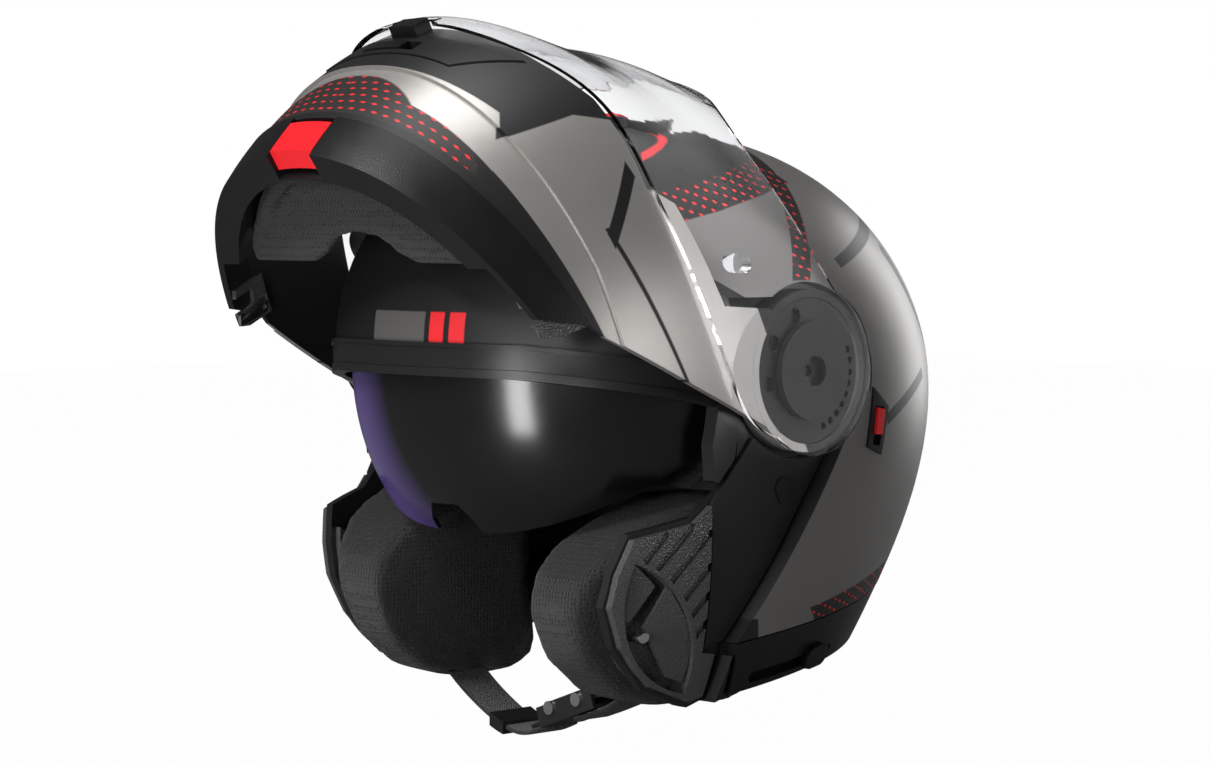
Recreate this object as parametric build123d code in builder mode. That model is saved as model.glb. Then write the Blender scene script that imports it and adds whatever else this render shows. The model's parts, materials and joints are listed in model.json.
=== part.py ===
from build123d import *
from functools import cache
from math import atan2, cos, degrees, hypot, radians, sin
import os

os.makedirs("parts", exist_ok=True)

# Frame: millimetres, +Z up, face towards -Y, the wearer's left is +X.
# The origin is midway between the two visor pivots, whose line is the X axis.
# A side outline is a list of (forward, up) shares of head_reach, seen from the left.
# The chin bar and the visor are drawn closed and written raised, as the helmet is shown.

# Driving sizes
head_reach = 100.0          # pivot line to the forehead, which every side outline follows
shell_half_width = 126.0    # outer skin of the shell at the pivots
chin_half_width = 125.0     # outer skin of the chin bar
visor_half_width = 131.0    # outer skin of the visor
lens_half_width = 107.0     # outer skin of the drop-down sun lens
chin_raise = 69.0           # degrees from the closed chin bar to the raised one
overrun = 150.0             # how far cutting blocks run past what they cut
deep_inside = 50.0          # depth under the chin bar's skin that no piece reaches

# Walls and clearances
shell_wall = 3.6
chin_wall = 4.0
visor_wall = 2.2
lens_wall = 2.0
front_recess = 5.0          # the face area lies this deep under the outer skin, radially
side_recess = 9.5           # and this deep at the sides, where the chin bar's arms lie
fit_gap = 0.3               # between pieces fastened to each other through foam or cloth
seat_gap = 0.05             # between trim and the skin that it is bonded to
move_gap = 0.4              # between pieces that pass each other
lens_clearance = 0.8

# Skins: (degrees, share of head_reach) round the pivot line; 0 is forward, 90 is up
shell_skin_shares = [(0, 1.23), (20, 1.25), (36, 1.235), (60, 1.12), (90, 1.05), (120, 1.14), (150, 1.34),
                     (180, 1.56), (205, 1.63), (230, 1.72), (255, 1.98), (280, 2.12), (310, 1.96), (340, 1.50)]
chin_skin_shares = [(0, 1.70), (30, 1.55), (60, 1.50), (90, 1.50), (120, 1.50), (150, 1.60), (180, 1.80),
                    (205, 1.90), (230, 2.00), (255, 2.15), (280, 2.22), (310, 2.10), (327, 1.96), (344, 1.81)]
visor_skin_shares = [(5, 1.45), (15, 1.36), (27, 1.29), (45, 1.40), (60, 1.50), (90, 1.50), (120, 1.50),
                     (150, 1.52), (180, 1.60), (205, 1.70), (230, 1.85), (255, 2.05), (280, 2.20),
                     (310, 2.15), (330, 2.02), (342, 1.89), (346, 1.835), (350, 1.74)]
lens_skin_shares = [(angle, 1.134) for angle in range(0, 360, 30)]
shell_power = 2.2           # fullness of a skin across the width; 2 is an ellipse
visor_power = 2.0
station_count = 6           # lofted stations each side of the middle
last_station = 80.0         # degrees; the skin ends in a small flat there

# Pivots
pivot_floor = 112.0         # recess floor in the shell, from the middle plane
pivot_recess_radius = 37.5
arm_disc_radius = 34.5
arm_disc_face = 123.2       # outer rim of the arm's disc
ratchet_seat = 119.4        # floor of the disc's pocket
ratchet_radius = 31.0
ratchet_drop = 0.2          # its face lies this far under the disc's rim
hub_radius = 8.0
hub_fit = 0.05
hub_root = 99.0             # inner end of the hinge pin, past the lens's arm
hub_cap_radius = 12.0
hub_cap_thickness = 2.4
hub_socket_radius = 3.0
track_inner = 14.5          # round track in the ratchet plate, for the visor's hub
track_outer = 19.0
track_depth = 2.6
track_bore = 12.5
tooth_count = 9
tooth_pitch = 11.0          # degrees
tooth_radius = 1.6
tooth_circle = 25.5
window_count = 3
window_circle = 25.0
window_radius = 3.4
visor_pod_radius = 36.0
visor_hub_radius = 21.0
visor_hub_bore = 6.5
antifog_places_share = (0.569, -0.199)
antifog_radius = 4.2
antifog_length = 7.5

# Side outlines of the shell and its trim
proud_shares = [(1.42, 0.87), (1.08, 0.68), (0.80, 0.56), (0.535, 0.43), (0.346, 0.315), (0.10, 0.315),
                (0.0, 0.0), (-0.24, -0.29), (-0.065, -0.554), (0.056, -0.774), (0.281, -1.147),
                (0.30, -1.40), (0.30, -2.60), (-3.0, -2.60), (-3.0, 2.20), (1.42, 2.20)]
brow_shares = [(2.60, 0.02), (1.18, 0.02), (1.07, 0.015), (0.80, -0.03), (0.66, -0.055), (0.46, -0.10)]
port_shares = [(0.33, -0.145), (0.34, -0.40)]
cheek_front_shares = [(0.42, -0.49), (0.55, -0.60), (0.82, -0.66), (0.87, -0.82),
                      (0.88, -0.97), (0.80, -1.15), (0.62, -1.34), (0.40, -1.43), (0.36, -1.44)]
below_shares = [(0.36, -3.0), (2.60, -3.0)]
rim_shares = [(0.36, -1.44), (0.27, -1.40), (0.29, -1.15), (-1.35, -0.95), (-3.0, -0.75), (-3.0, -3.0),
              (0.36, -3.0)]
side_trim_shares = [(0.27, -1.155), (-1.00, -0.998), (-1.00, -1.213), (0.235, -1.385)]
rear_trim_shares = [(-1.006, -0.997), (-1.35, -0.955), (-3.0, -0.754), (-3.0, -0.95), (-1.35, -1.16),
                    (-1.006, -1.212)]
trim_drop = 0.2             # trim lies this far under the shell's skin
trim_thickness = 5.0
panel_shares = [(0.27, -0.275), (0.466, -0.54), (0.387, -1.156), (0.296, -1.145), (0.078, -0.784),
                (-0.043, -0.564), (-0.20, -0.33)]
panel_thickness = 2.0
plug_share = (0.063, -0.506)
plug_radius = 4.5
plug_frame_radius = 11.0
plug_proud = 0.8
port_trim_shares = [(0.335, -0.15), (0.44, -0.125), (0.475, -0.30), (0.46, -0.45), (0.435, -0.46),
                    (0.36, -0.36)]
port_trim_proud = 1.5
port_trim_depth = 5.0

# Latch plate on the cheek
plate_shares = [(0.475, -0.552), (0.55, -0.622), (0.815, -0.682), (0.86, -0.83), (0.868, -0.97),
                (0.785, -1.145), (0.61, -1.325), (0.39, -1.41), (0.325, -1.39), (0.33, -1.20), (0.40, -1.19)]
plate_thickness = 3.0
groove_shares = [((0.75, -0.77), (0.68, -0.67)), ((0.69, -0.80), (0.56, -0.64)), ((0.62, -0.86), (0.47, -0.67)),
                 ((0.545, -0.94), (0.445, -0.81)), ((0.50, -1.02), (0.425, -0.93)),
                 ((0.465, -1.12), (0.40, -1.04))]
groove_width = 3.4
groove_depth = 1.8
cup_shares = [(0.81, -0.76), (0.785, -1.12), (0.415, -1.385), (0.475, -1.06)]
cup_depth = 5.0
cup_wall = 1.6
hood_shares = [(0.625, -0.885), (0.70, -1.06), (0.54, -1.285), (0.44, -1.32), (0.44, -1.12)]
hood_top = 1.2
hood_thickness = 1.6
shelf_shares = [(0.82, -0.75), (0.68, -0.885), (0.765, -1.035), (0.84, -1.0)]
shelf_top = 0.6
shelf_thickness = 1.6
striker_share = (0.722, -1.10)
striker_radius = 2.2
striker_proud = 5.4

# Brow gasket: bands between heights over the brow line, as shares
gasket_band_share = (-0.04, 0.085)
gasket_bead_share = (-0.04, -0.004)
gasket_lip_share = (0.085, 0.103)
gasket_face = 1.2
gasket_lip = 2.0
gasket_bead_depth = 3.5

# Head space, and the linings round it
head_half_width = 80.0
head_half_length = 102.0
head_height = 78.0
head_setback = 20.0
head_section_shares = [(-2.2, 0.88), (-1.4, 0.95), (-0.65, 1.0), (0.0, 1.0), (0.32, 0.947), (0.62, 0.785),
                       (0.84, 0.543), (0.955, 0.297)]
liner_setback = 4.0
liner_cut_shares = [(2.60, -0.50), (-0.05, -0.50), (-0.05, -0.96), (-3.0, -0.62), (-3.0, -3.0), (2.60, -3.0)]
lens_path_shares = [(-0.17, -0.17), (-0.17, 0.14), (0.50, 1.05), (1.50, 1.0), (1.50, -1.30), (0.30, -0.45)]
crown_pad_thickness = 9.0
crown_cut_shares = [(2.0, 0.30), (0.30, 0.22), (-2.5, 0.05), (-2.5, -3.0), (2.0, -3.0)]
cheek_pad_shares = [(0.30, -0.53), (0.50, -0.60), (0.78, -0.72), (0.92, -0.86), (0.945, -1.02), (0.86, -1.22),
                    (0.66, -1.39), (0.40, -1.46), (0.10, -1.44), (-0.03, -1.38), (-0.03, -0.53)]
cheek_pad_face = 47.0       # inner face, from the middle plane
cheek_pad_depth = 5.6
cheek_pad_round = 7.0
neck_roll_shares = [(-0.08, -1.02), (-3.0, -0.68), (-3.0, -0.93), (-0.08, -1.27)]
neck_roll_thickness = 19.0

# Sun lens
lens_shares = [(0.0, 0.09), (0.30, 0.07), (1.60, 0.09), (1.60, -1.05), (0.86, -0.70), (0.70, -0.575),
               (0.39, -0.35), (0.36, -0.14), (0.0, -0.09)]
lens_eye_radius = 12.0
nose_notch_shares = [(-0.17, -1.20), (-0.14, -0.66), (-0.085, -0.585), (0.085, -0.585), (0.14, -0.66),
                     (0.17, -1.20)]
slider_share = (-0.28, -1.263)
slider_slot_shares = [(0.12, -1.315), (-0.40, -1.248)]
slider_slot_height = 5.0
slider_slot_depth = 3.6
slider_knob_length = 17.0
slider_knob_height = 10.0
slider_proud = 2.4

# Pivot lock, low behind the left pivot
bezel_shares = [(-0.415, -0.085), (-0.545, -0.175), (-0.515, -0.385), (-0.39, -0.345)]
bezel_proud = 1.0
bezel_depth = 1.4
lever_shares = [(-0.445, -0.175), (-0.499, -0.185), (-0.49, -0.295), (-0.435, -0.29)]
lever_slot_shares = [(-0.44, -0.165), (-0.51, -0.175), (-0.492, -0.345), (-0.43, -0.335)]
lever_proud = 2.2

# Vents of the shell
vent_centre = 6.0           # behind the pivot line
vent_half_width = 21.0
vent_half_length = 20.0
vent_round = 8.0
vent_proud = 5.0
vent_slot_half_width = 11.0
vent_slot_half_length = 8.0
vent_knob_half_length = 3.4
vent_knob_rise = 1.2
vent_knob_gap = 0.9
rear_vent_shares = [(-0.88, 0.79), (-1.02, 0.92), (-1.32, 0.70), (-1.13, 0.60)]
rear_vent_half_width = 26.0
rear_vent_proud = 3.5
rear_slot_shares = [(-0.93, 0.75), (-1.06, 0.86), (-1.26, 0.72), (-1.10, 0.61)]
rear_slot_count = 3
rear_slot_pitch = 16.0
rear_slot_width = 9.0

# Chin bar, closed
chin_shares = [(0.0, 0.0), (0.33, -0.12), (0.44, -0.36), (0.90, -0.38), (1.00, -0.462), (1.20, -0.422),
               (1.375, -0.405), (1.56, -0.458), (1.66, -0.478), (2.60, -0.62),
               (2.60, -1.38), (1.61, -1.18), (0.61, -0.98), (0.54, -0.94), (0.20, -0.63), (-0.01, -0.43),
               (-0.12, -0.32)]
chin_trim_shares = [(0.61, -0.983), (1.61, -1.183), (2.60, -1.383), (2.60, -1.66), (1.47, -1.37),
                    (0.71, -1.175)]
chin_trim_depth = 13.0
crease_shares = [(0.80, -0.85), (2.60, -0.85), (2.60, -1.6), (0.30, -1.6), (0.30, -0.90)]
crease_depth = 1.6
foam_shares = [(1.02, -0.56), (2.60, -0.60), (2.60, -1.36), (1.61, -1.165), (1.02, -1.045)]
foam_depth = 12.0
mesh_pad_shares = [(1.04, -0.62), (2.60, -0.70), (2.60, -1.50), (1.61, -1.30), (1.04, -1.14)]
mesh_pad_depth = 7.0
mesh_dip_shares = [(-0.62, -0.50), (-0.56, -0.80), (-0.36, -0.86), (-0.20, -0.98), (0.20, -0.98),
                   (0.36, -0.86), (0.56, -0.80), (0.62, -0.50)]
button_half_width = 13.5
button_gap_shares = [(-0.14, -0.90), (0.14, -0.90), (0.14, -2.0), (-0.14, -2.0)]
button_shares = [(1.40, -1.175), (2.00, -1.295), (2.00, -1.455), (1.40, -1.335)]
button_depth = 9.0
button_room = 12.0          # depth of its pocket, with its travel
trim_rear_shares = [(0.0, -0.5), (0.95, -0.5), (0.95, -2.0), (0.0, -2.0)]
trim_rear_depth = 3.9
catch_half_width = 8.0
catch_shares = [(1.62, -0.495), (1.95, -0.535), (1.95, -0.615), (1.62, -0.595)]
catch_proud = 6.0
vent_insert_shares = [(-0.60, -0.50), (-0.40, -0.75), (0.40, -0.75), (0.60, -0.50), (0.32, -0.58),
                      (-0.32, -0.58)]
vent_insert_depth = 1.4
vent_insert_floor = 2.6
vent_insert_back_share = 1.20
chin_slot_shares = [(-0.16, -0.645), (-0.16, -0.715), (0.16, -0.715), (0.16, -0.645)]
chin_knob_shares = [(-0.156, -0.649), (-0.156, -0.711), (0.076, -0.711), (0.076, -0.649)]
chin_knob_proud = 1.4
chin_knob_foot = 0.9

# Visor, closed
visor_upper_shares = [(-0.22, 0.30), (0.0, 0.355), (0.10, 0.33), (0.22, 0.265), (0.40, 0.235), (0.60, 0.23),
                      (0.80, 0.24), (0.94, 0.28), (1.03, 0.40), (1.08, 0.54), (1.14, 0.575), (1.60, 0.60)]
visor_lower_shares = [(2.60, -0.56), (1.90, -0.555), (1.72, -0.525), (1.56, -0.44), (1.375, -0.387),
                      (1.20, -0.405), (1.00, -0.445), (0.75, -0.47), (0.53, -0.48), (0.25, -0.475),
                      (0.01, -0.45), (-0.16, -0.33)]
visor_notch_shares = [(-0.15, -0.70), (-0.115, -0.475), (0.115, -0.475), (0.15, -0.70)]

# Latch at the end of each arm
latch_box_shares = [(0.60, -0.93), (0.80, -0.97), (0.80, -1.18), (0.72, -1.19), (0.62, -1.16), (0.60, -1.10)]
latch_box_depth = 6.4
latch_mouth_shares = [(0.685, -1.30), (0.685, -1.06), (0.70, -1.045), (0.745, -1.045), (0.76, -1.06),
                      (0.76, -1.30)]
hook_pivot_share = (0.645, -0.985)
hook_pivot_reach = 103.1    # its outer face at the pivot, from the middle plane
hook_toe_in = 15.6          # degrees that the hook's pin leans forward, square to the arm's skin
hook_lean = 15.2            # and down
hook_pivot_radius = 3.0
hook_pin_radius = 1.5
hook_thickness = 1.4
hook_shares = [(0.028, 0.0), (0.015, -0.125), (0.0175, -0.171), (0.0387, -0.1676), (0.0432, -0.187),
               (0.0, -0.191), (-0.005, -0.15), (-0.028, 0.0)]
hook_room_shares = [(0.69, -0.95), (0.69, -1.06), (0.76, -1.09), (0.76, -1.175), (0.625, -1.175),
                    (0.61, -0.99), (0.61, -0.95)]
hook_room_depth = 4.35

# Strap and buckle
strap_forward = 35.0        # middle of the webbing, ahead of the pivot line
strap_width = 22.0
strap_thickness = 2.2
strap_left_shares = [(0.86, -0.92), (0.85, -1.03), (0.79, -1.17), (0.66, -1.325), (0.53, -1.44),
                     (0.414, -1.494), (0.273, -1.545)]
strap_right_shares = [(-0.86, -0.92), (-0.85, -1.03), (-0.79, -1.17), (-0.66, -1.325), (-0.48, -1.475),
                      (-0.28, -1.59), (-0.13, -1.641), (-0.033, -1.640), (0.065, -1.604)]
strap_slack = 1.6
buckle_centre_share = (0.25, -1.54)
buckle_tilt = 20.0          # degrees from level
buckle_half_length = 18.0
buckle_half_width = 13.0
buckle_wall = 1.6
buckle_height = 9.0
strip_start = -30.0         # along the buckle, from its middle
strip_end = 14.0
strip_half_width = 7.0
strip_base = 1.9
strip_thickness = 1.6
strip_tooth_pitch = 3.2
strip_tooth_count = 8
strip_tooth_length = 1.2
strip_tooth_height = 0.8
lever_start = -12.0
lever_end = 17.0
lever_half_width = 10.8
lever_base = 8.0
lever_thickness = 2.0
lever_boss_radius = 2.4
lever_nose_half_length = 0.55
lever_nose_half_width = 6.0
lever_nose_base = 3.9
lever_pin_place = (-9.0, 6.9)
stop_pin_place = (9.0, 6.2)
pin_radius = 1.5
pin_head_radius = 3.0
pin_head = 1.2
tab_length = 7.0
tab_drop = 0.9
rivet_places = (-20.0, -26.0)
rivet_radius = 2.8
rivet_head = 1.4
keeper_start = -26.0
keeper_end = -17.0
keeper_wall = 1.5
anchor_centre_share = (-0.96, 0.35)
anchor_half_plate = 8.0
anchor_thickness = 1.6
anchor_rivet_radius = 4.0


def side_points(shares):
    """Side outline in the plane Y Z, with +Y to the right."""
    return [(-forward * head_reach, up * head_reach) for forward, up in shares]


def front_points(shares):
    """Front outline in the plane X Z, from (left, up) shares."""
    return [(left * head_reach, up * head_reach) for left, up in shares]


def skin_section(shares, half_width, depth, power, x):
    """Points of a skin's closed outline at a station across the width."""
    shrink = (1 - (abs(x) / (half_width - depth)) ** power) ** (1 / power)
    points = []
    for angle, share in shares:
        radius = (share * head_reach - depth) * shrink
        points.append((-radius * cos(radians(angle)), radius * sin(radians(angle))))
    return points


def lofted_skin(shares, half_width, depth, power):
    """Closed solid under a curved skin that runs from pivot to pivot."""
    reach = half_width - depth
    with BuildPart() as solid:
        for step in range(-station_count, station_count + 1):
            x = reach * sin(radians(last_station * step / station_count))
            with BuildSketch(Plane.YZ.offset(x)):
                with BuildLine():
                    Spline(*skin_section(shares, half_width, depth, power, x), periodic=True)
                make_face()
        loft()
    return solid.part


@cache
def shell_skin(depth=0.0):
    """Solid under the outer skin of the shell."""
    return lofted_skin(shell_skin_shares, shell_half_width, depth, shell_power)


@cache
def face_skin(depth=0.0):
    """Solid under the recessed face area, where the chin bar's arms pass."""
    shares = [(angle, share - front_recess / head_reach) for angle, share in shell_skin_shares]
    return lofted_skin(shares, shell_half_width - side_recess, depth, shell_power)


@cache
def chin_skin(depth=0.0):
    """Solid under the chin bar's outer skin, closed."""
    return lofted_skin(chin_skin_shares, chin_half_width, depth, shell_power)


@cache
def visor_skin(depth=0.0):
    """Solid under the visor's outer skin, closed."""
    return lofted_skin(visor_skin_shares, visor_half_width, depth, visor_power)


@cache
def lens_skin(depth=0.0):
    """Solid under the sun lens, which turns within itself."""
    return lofted_skin(lens_skin_shares, lens_half_width, depth, shell_power)


def side_block(shares, grow=0.0, start=-overrun, end=overrun):
    """Block across the width over a side outline, grown or shrunk all round."""
    with BuildPart() as block:
        with BuildSketch(Plane.YZ.offset(start)):
            with BuildLine():
                Polyline(*side_points(shares), close=True)
            make_face()
            if grow:
                offset(amount=grow, kind=Kind.INTERSECTION)
        extrude(amount=end - start)
    return block.part


def left_block(shares, grow=0.0):
    """The same, on the wearer's left only."""
    return side_block(shares, grow, start=0.0)


def front_block(shares, back_share=0.3, grow=0.0):
    """Block over a front outline, from a distance ahead of the pivot line and on forward."""
    with BuildPart() as block:
        with BuildSketch(Plane.XZ.offset(back_share * head_reach)):
            with BuildLine():
                Polyline(*front_points(shares), close=True)
            make_face()
            if grow:
                offset(amount=grow, kind=Kind.INTERSECTION)
        extrude(amount=overrun + head_reach)
    return block.part


def drum(radius, start, end, centre_share=(0.0, 0.0)):
    """Round drum across the width, on the left; on the pivot line unless a place is given."""
    with BuildPart() as solid:
        with BuildSketch(Plane.YZ.offset(start)):
            with Locations(*side_points([centre_share])):
                Circle(radius)
        extrude(amount=end - start)
    return solid.part


def both_sides(piece):
    """A left piece and its mirror image."""
    with BuildPart() as pair:
        add(piece)
        mirror(about=Plane.YZ)
    return pair.part


def layer(outer, inner, *regions):
    """What lies under one skin and outside another, within each region."""
    with BuildPart() as piece:
        add(regions[0])
        for region in (*regions[1:], outer):
            add(region, mode=Mode.INTERSECT)
        add(inner, mode=Mode.SUBTRACT)
    return piece.part


def without(piece, *cutters):
    """A piece with others cut from it."""
    with BuildPart() as rest:
        add(piece)
        for cutter in cutters:
            add(cutter, mode=Mode.SUBTRACT)
    return rest.part


def joined(*pieces):
    """Pieces of one moulding."""
    with BuildPart() as whole:
        for piece in pieces:
            add(piece)
    return whole.part


def raised(piece):
    """A piece of the chin bar turned up from closed to where it is shown."""
    return piece.rotate(Axis.X, -chin_raise)


def write(piece, name):
    """Labels a finished piece and writes its file."""
    piece.label = name
    export_step(piece, f"parts/{name}.step")


def write_pair(piece, name):
    """Writes a left piece and its mirror image."""
    write(piece, f"{name}_left")
    write(mirror(piece, about=Plane.YZ), f"{name}_right")


# Shell
@cache
def stepped_form(depth):
    """Solid under the shell: full at the back and crown, recessed round the face and the pivots."""
    drums = both_sides(drum(pivot_recess_radius + depth, pivot_floor - depth, overrun))
    return joined(layer(shell_skin(depth), drums, side_block(proud_shares, -depth)),
                  without(face_skin(depth), drums))


def cup_block(grow):
    """Block over the lens-shaped outline of the latch cup."""
    top, left, bottom, right = side_points(cup_shares)
    with BuildPart() as block:
        with BuildSketch(Plane.YZ):
            with BuildLine():
                ThreePointArc(top, left, bottom)
                ThreePointArc(bottom, right, top)
            make_face()
            if grow:
                offset(amount=grow)
        extrude(amount=overrun)
    return block.part


face_opening_shares = brow_shares + port_shares + cheek_front_shares + below_shares
pin_bores = both_sides(drum(hub_radius + hub_fit, 0.0, overrun))
cup_holes = both_sides(cup_block(fit_gap))
outer_shell = without(stepped_form(0.0), stepped_form(shell_wall), side_block(face_opening_shares),
                      side_block(rim_shares), pin_bores, cup_holes, left_block(lever_slot_shares),
                      without(left_block(bezel_shares, seat_gap), shell_skin(bezel_depth + seat_gap)))
write(outer_shell, "outer_shell")


# Linings
def head_form(grow):
    """Space that the head fills, grown or shrunk all round."""
    with BuildPart() as form:
        for height_share, width_share in head_section_shares:
            with BuildSketch(Plane.XY.offset(height_share * (head_height + grow))):
                with Locations((0, head_setback)):
                    Ellipse((head_half_width + grow) * width_share, (head_half_length + grow) * width_share)
        loft()
    return form.part


lens_path = without(side_block(lens_path_shares), lens_skin(lens_wall + lens_clearance))
impact_liner = without(stepped_form(shell_wall + fit_gap), head_form(0.0),
                       side_block(face_opening_shares, liner_setback), side_block(liner_cut_shares), lens_path,
                       both_sides(drum(hub_radius + fit_gap, 0.0, overrun)))
write(impact_liner, "impact_liner")

crown_pad = without(head_form(-fit_gap), head_form(-crown_pad_thickness), side_block(crown_cut_shares))
write(crown_pad, "crown_pad")


def strap_band(shares, thickness, width):
    """Bent flat band along a path in the strap's plane."""
    with BuildPart() as band:
        with BuildSketch(Plane.XZ.offset(strap_forward - width / 2)):
            with BuildLine():
                Spline(*front_points(shares))
            trace(line_width=thickness)
        extrude(amount=width)
    return band.part


def width_block(start, end):
    """Block between two stations across the width."""
    with BuildPart() as block:
        with BuildSketch(Plane.YZ.offset(start)):
            Rectangle(2 * (overrun + head_reach), 2 * (overrun + head_reach))
        extrude(amount=end - start)
    return block.part


strap_channel = strap_band(strap_left_shares, strap_thickness + 2 * strap_slack,
                           strap_width + 2 * strap_slack)
anchor_up, anchor_forward = anchor_centre_share
anchor_face = strap_left_shares[0][0] * head_reach + strap_thickness / 2 + seat_gap
with BuildPart() as anchor_room:
    with BuildSketch(Plane.YZ.offset(anchor_face - strap_thickness)):
        with Locations(*side_points([(anchor_forward, anchor_up)])):
            Rectangle(strap_width + 2 * strap_slack, 2 * (anchor_half_plate + strap_slack))
    extrude(amount=overrun)
with BuildPart() as pad_block:
    add(left_block(cheek_pad_shares))
    fillet(pad_block.edges().filter_by(Axis.X), radius=cheek_pad_round)
cup_room = layer(face_skin(-plate_thickness * 2), face_skin(cup_depth + cup_wall + fit_gap),
                 cup_block(cup_wall))
cheek_pad = without(layer(stepped_form(cheek_pad_depth), cup_room, pad_block.part,
                          width_block(cheek_pad_face, overrun)), strap_channel, anchor_room.part)
write_pair(cheek_pad, "cheek_pad")

neck_roll = layer(shell_skin(trim_drop + trim_thickness + fit_gap),
                  shell_skin(trim_thickness + neck_roll_thickness), side_block(neck_roll_shares))
write(neck_roll, "neck_roll")


# Trim on the shell
def brow_band(low_share, high_share):
    """Block over a band that follows the brow line."""
    low = [(forward, up + low_share) for forward, up in brow_shares]
    high = [(forward, up + high_share) for forward, up in reversed(brow_shares)]
    return side_block(low + high)


brow_gasket = joined(
    layer(face_skin(-gasket_face), face_skin(-seat_gap), brow_band(*gasket_band_share)),
    layer(face_skin(-gasket_lip), face_skin(-seat_gap), brow_band(*gasket_lip_share)),
    layer(face_skin(-gasket_lip), face_skin(gasket_bead_depth), brow_band(*gasket_bead_share)))
write(brow_gasket, "brow_gasket")

port_trim = layer(face_skin(-port_trim_proud), face_skin(port_trim_depth), left_block(port_trim_shares))
write_pair(port_trim, "port_trim")

trim_outer = shell_skin(trim_drop)
trim_inner = shell_skin(trim_drop + trim_thickness)
slider_start, slider_end = side_points(slider_slot_shares)
slot_angle = degrees(atan2(slider_end[1] - slider_start[1], slider_end[0] - slider_start[0]))
with BuildPart() as slider_slot:
    with BuildSketch(Plane.YZ):
        with Locations(((slider_start[0] + slider_end[0]) / 2, (slider_start[1] + slider_end[1]) / 2)):
            SlotCenterToCenter(hypot(slider_end[0] - slider_start[0], slider_end[1] - slider_start[1]),
                               slider_slot_height, rotation=slot_angle)
    extrude(amount=overrun)
side_trim = layer(trim_outer, trim_inner, left_block(side_trim_shares))
slider_slot = layer(shell_skin(-trim_drop), shell_skin(trim_drop + slider_slot_depth), slider_slot.part)
write(without(side_trim, slider_slot), "rim_trim_left")
write(mirror(side_trim, about=Plane.YZ), "rim_trim_right")
write(layer(trim_outer, trim_inner, side_block(rear_trim_shares)), "rim_trim_rear")

side_panel = layer(face_skin(-panel_thickness), face_skin(-seat_gap), left_block(panel_shares))
side_panel = without(side_panel, drum(pivot_recess_radius + fit_gap, 0.0, overrun))
plug_seat = drum(plug_radius + hub_fit, 0.0, overrun, plug_share)
write(without(side_panel, plug_seat), "side_panel_left")
write(mirror(side_panel, about=Plane.YZ), "side_panel_right")
with BuildPart() as plug_frame:
    with BuildSketch(Plane.YZ) as plug_outline:
        with Locations(*side_points([plug_share])):
            RegularPolygon(plug_frame_radius, 3, rotation=30)
        fillet(plug_outline.vertices(), radius=plug_radius)
    extrude(amount=overrun)
port_plug = joined(layer(face_skin(-panel_thickness - plug_proud), face_skin(-panel_thickness - seat_gap),
                         plug_frame.part),
                   layer(face_skin(-panel_thickness - seat_gap), face_skin(-seat_gap * 2),
                         drum(plug_radius, 0.0, overrun, plug_share)))
write(port_plug, "port_plug")

# Latch plate with its ribs, cup and striker pin
with BuildPart() as grooves:
    for share_pair in groove_shares:
        start, end = side_points(share_pair)
        with BuildSketch(Plane.YZ):
            with Locations(((start[0] + end[0]) / 2, (start[1] + end[1]) / 2)):
                SlotCenterToCenter(hypot(end[0] - start[0], end[1] - start[1]), groove_width,
                                   rotation=degrees(atan2(end[1] - start[1], end[0] - start[0])))
        extrude(amount=overrun)
plate_top = face_skin(-plate_thickness)
plate = without(layer(plate_top, face_skin(-seat_gap), left_block(plate_shares)),
                layer(face_skin(-plate_thickness * 2), face_skin(groove_depth - plate_thickness), grooves.part))
cup_bowl = without(layer(plate_top, face_skin(cup_depth + cup_wall), cup_block(0.0)),
                   layer(face_skin(-plate_thickness * 2), face_skin(cup_depth), cup_block(-cup_wall)))
hood = layer(face_skin(-hood_top), face_skin(hood_thickness - hood_top), left_block(hood_shares),
             cup_block(0.0))
shelf = layer(face_skin(-shelf_top), face_skin(shelf_thickness - shelf_top), left_block(shelf_shares),
              cup_block(0.0))
latch_plate = joined(without(plate, cup_block(0.0)), cup_bowl, hood, shelf)
write_pair(latch_plate, "latch_plate")
striker_pin = layer(face_skin(-striker_proud), face_skin(cup_depth - seat_gap),
                    drum(striker_radius, 0.0, overrun, striker_share))
write_pair(striker_pin, "striker_pin")

# Hinge pins
with BuildPart() as pivot_hub:
    add(drum(hub_radius, hub_root, ratchet_seat + move_gap))
    add(drum(hub_cap_radius, ratchet_seat + move_gap, ratchet_seat + move_gap + hub_cap_thickness))
    with BuildSketch(Plane.YZ.offset(ratchet_seat + move_gap + hub_cap_thickness)):
        RegularPolygon(hub_socket_radius, 6)
    extrude(amount=-hub_cap_thickness, mode=Mode.SUBTRACT)
write_pair(pivot_hub.part, "pivot_hub")

# Pivot lock
lock_bezel = without(layer(shell_skin(-bezel_proud), shell_skin(bezel_depth), left_block(bezel_shares)),
                     left_block(lever_slot_shares))
write(lock_bezel, "lock_bezel")
lock_lever = layer(shell_skin(-lever_proud), shell_skin(shell_wall), left_block(lever_shares))
write(lock_lever, "lock_lever")

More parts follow.
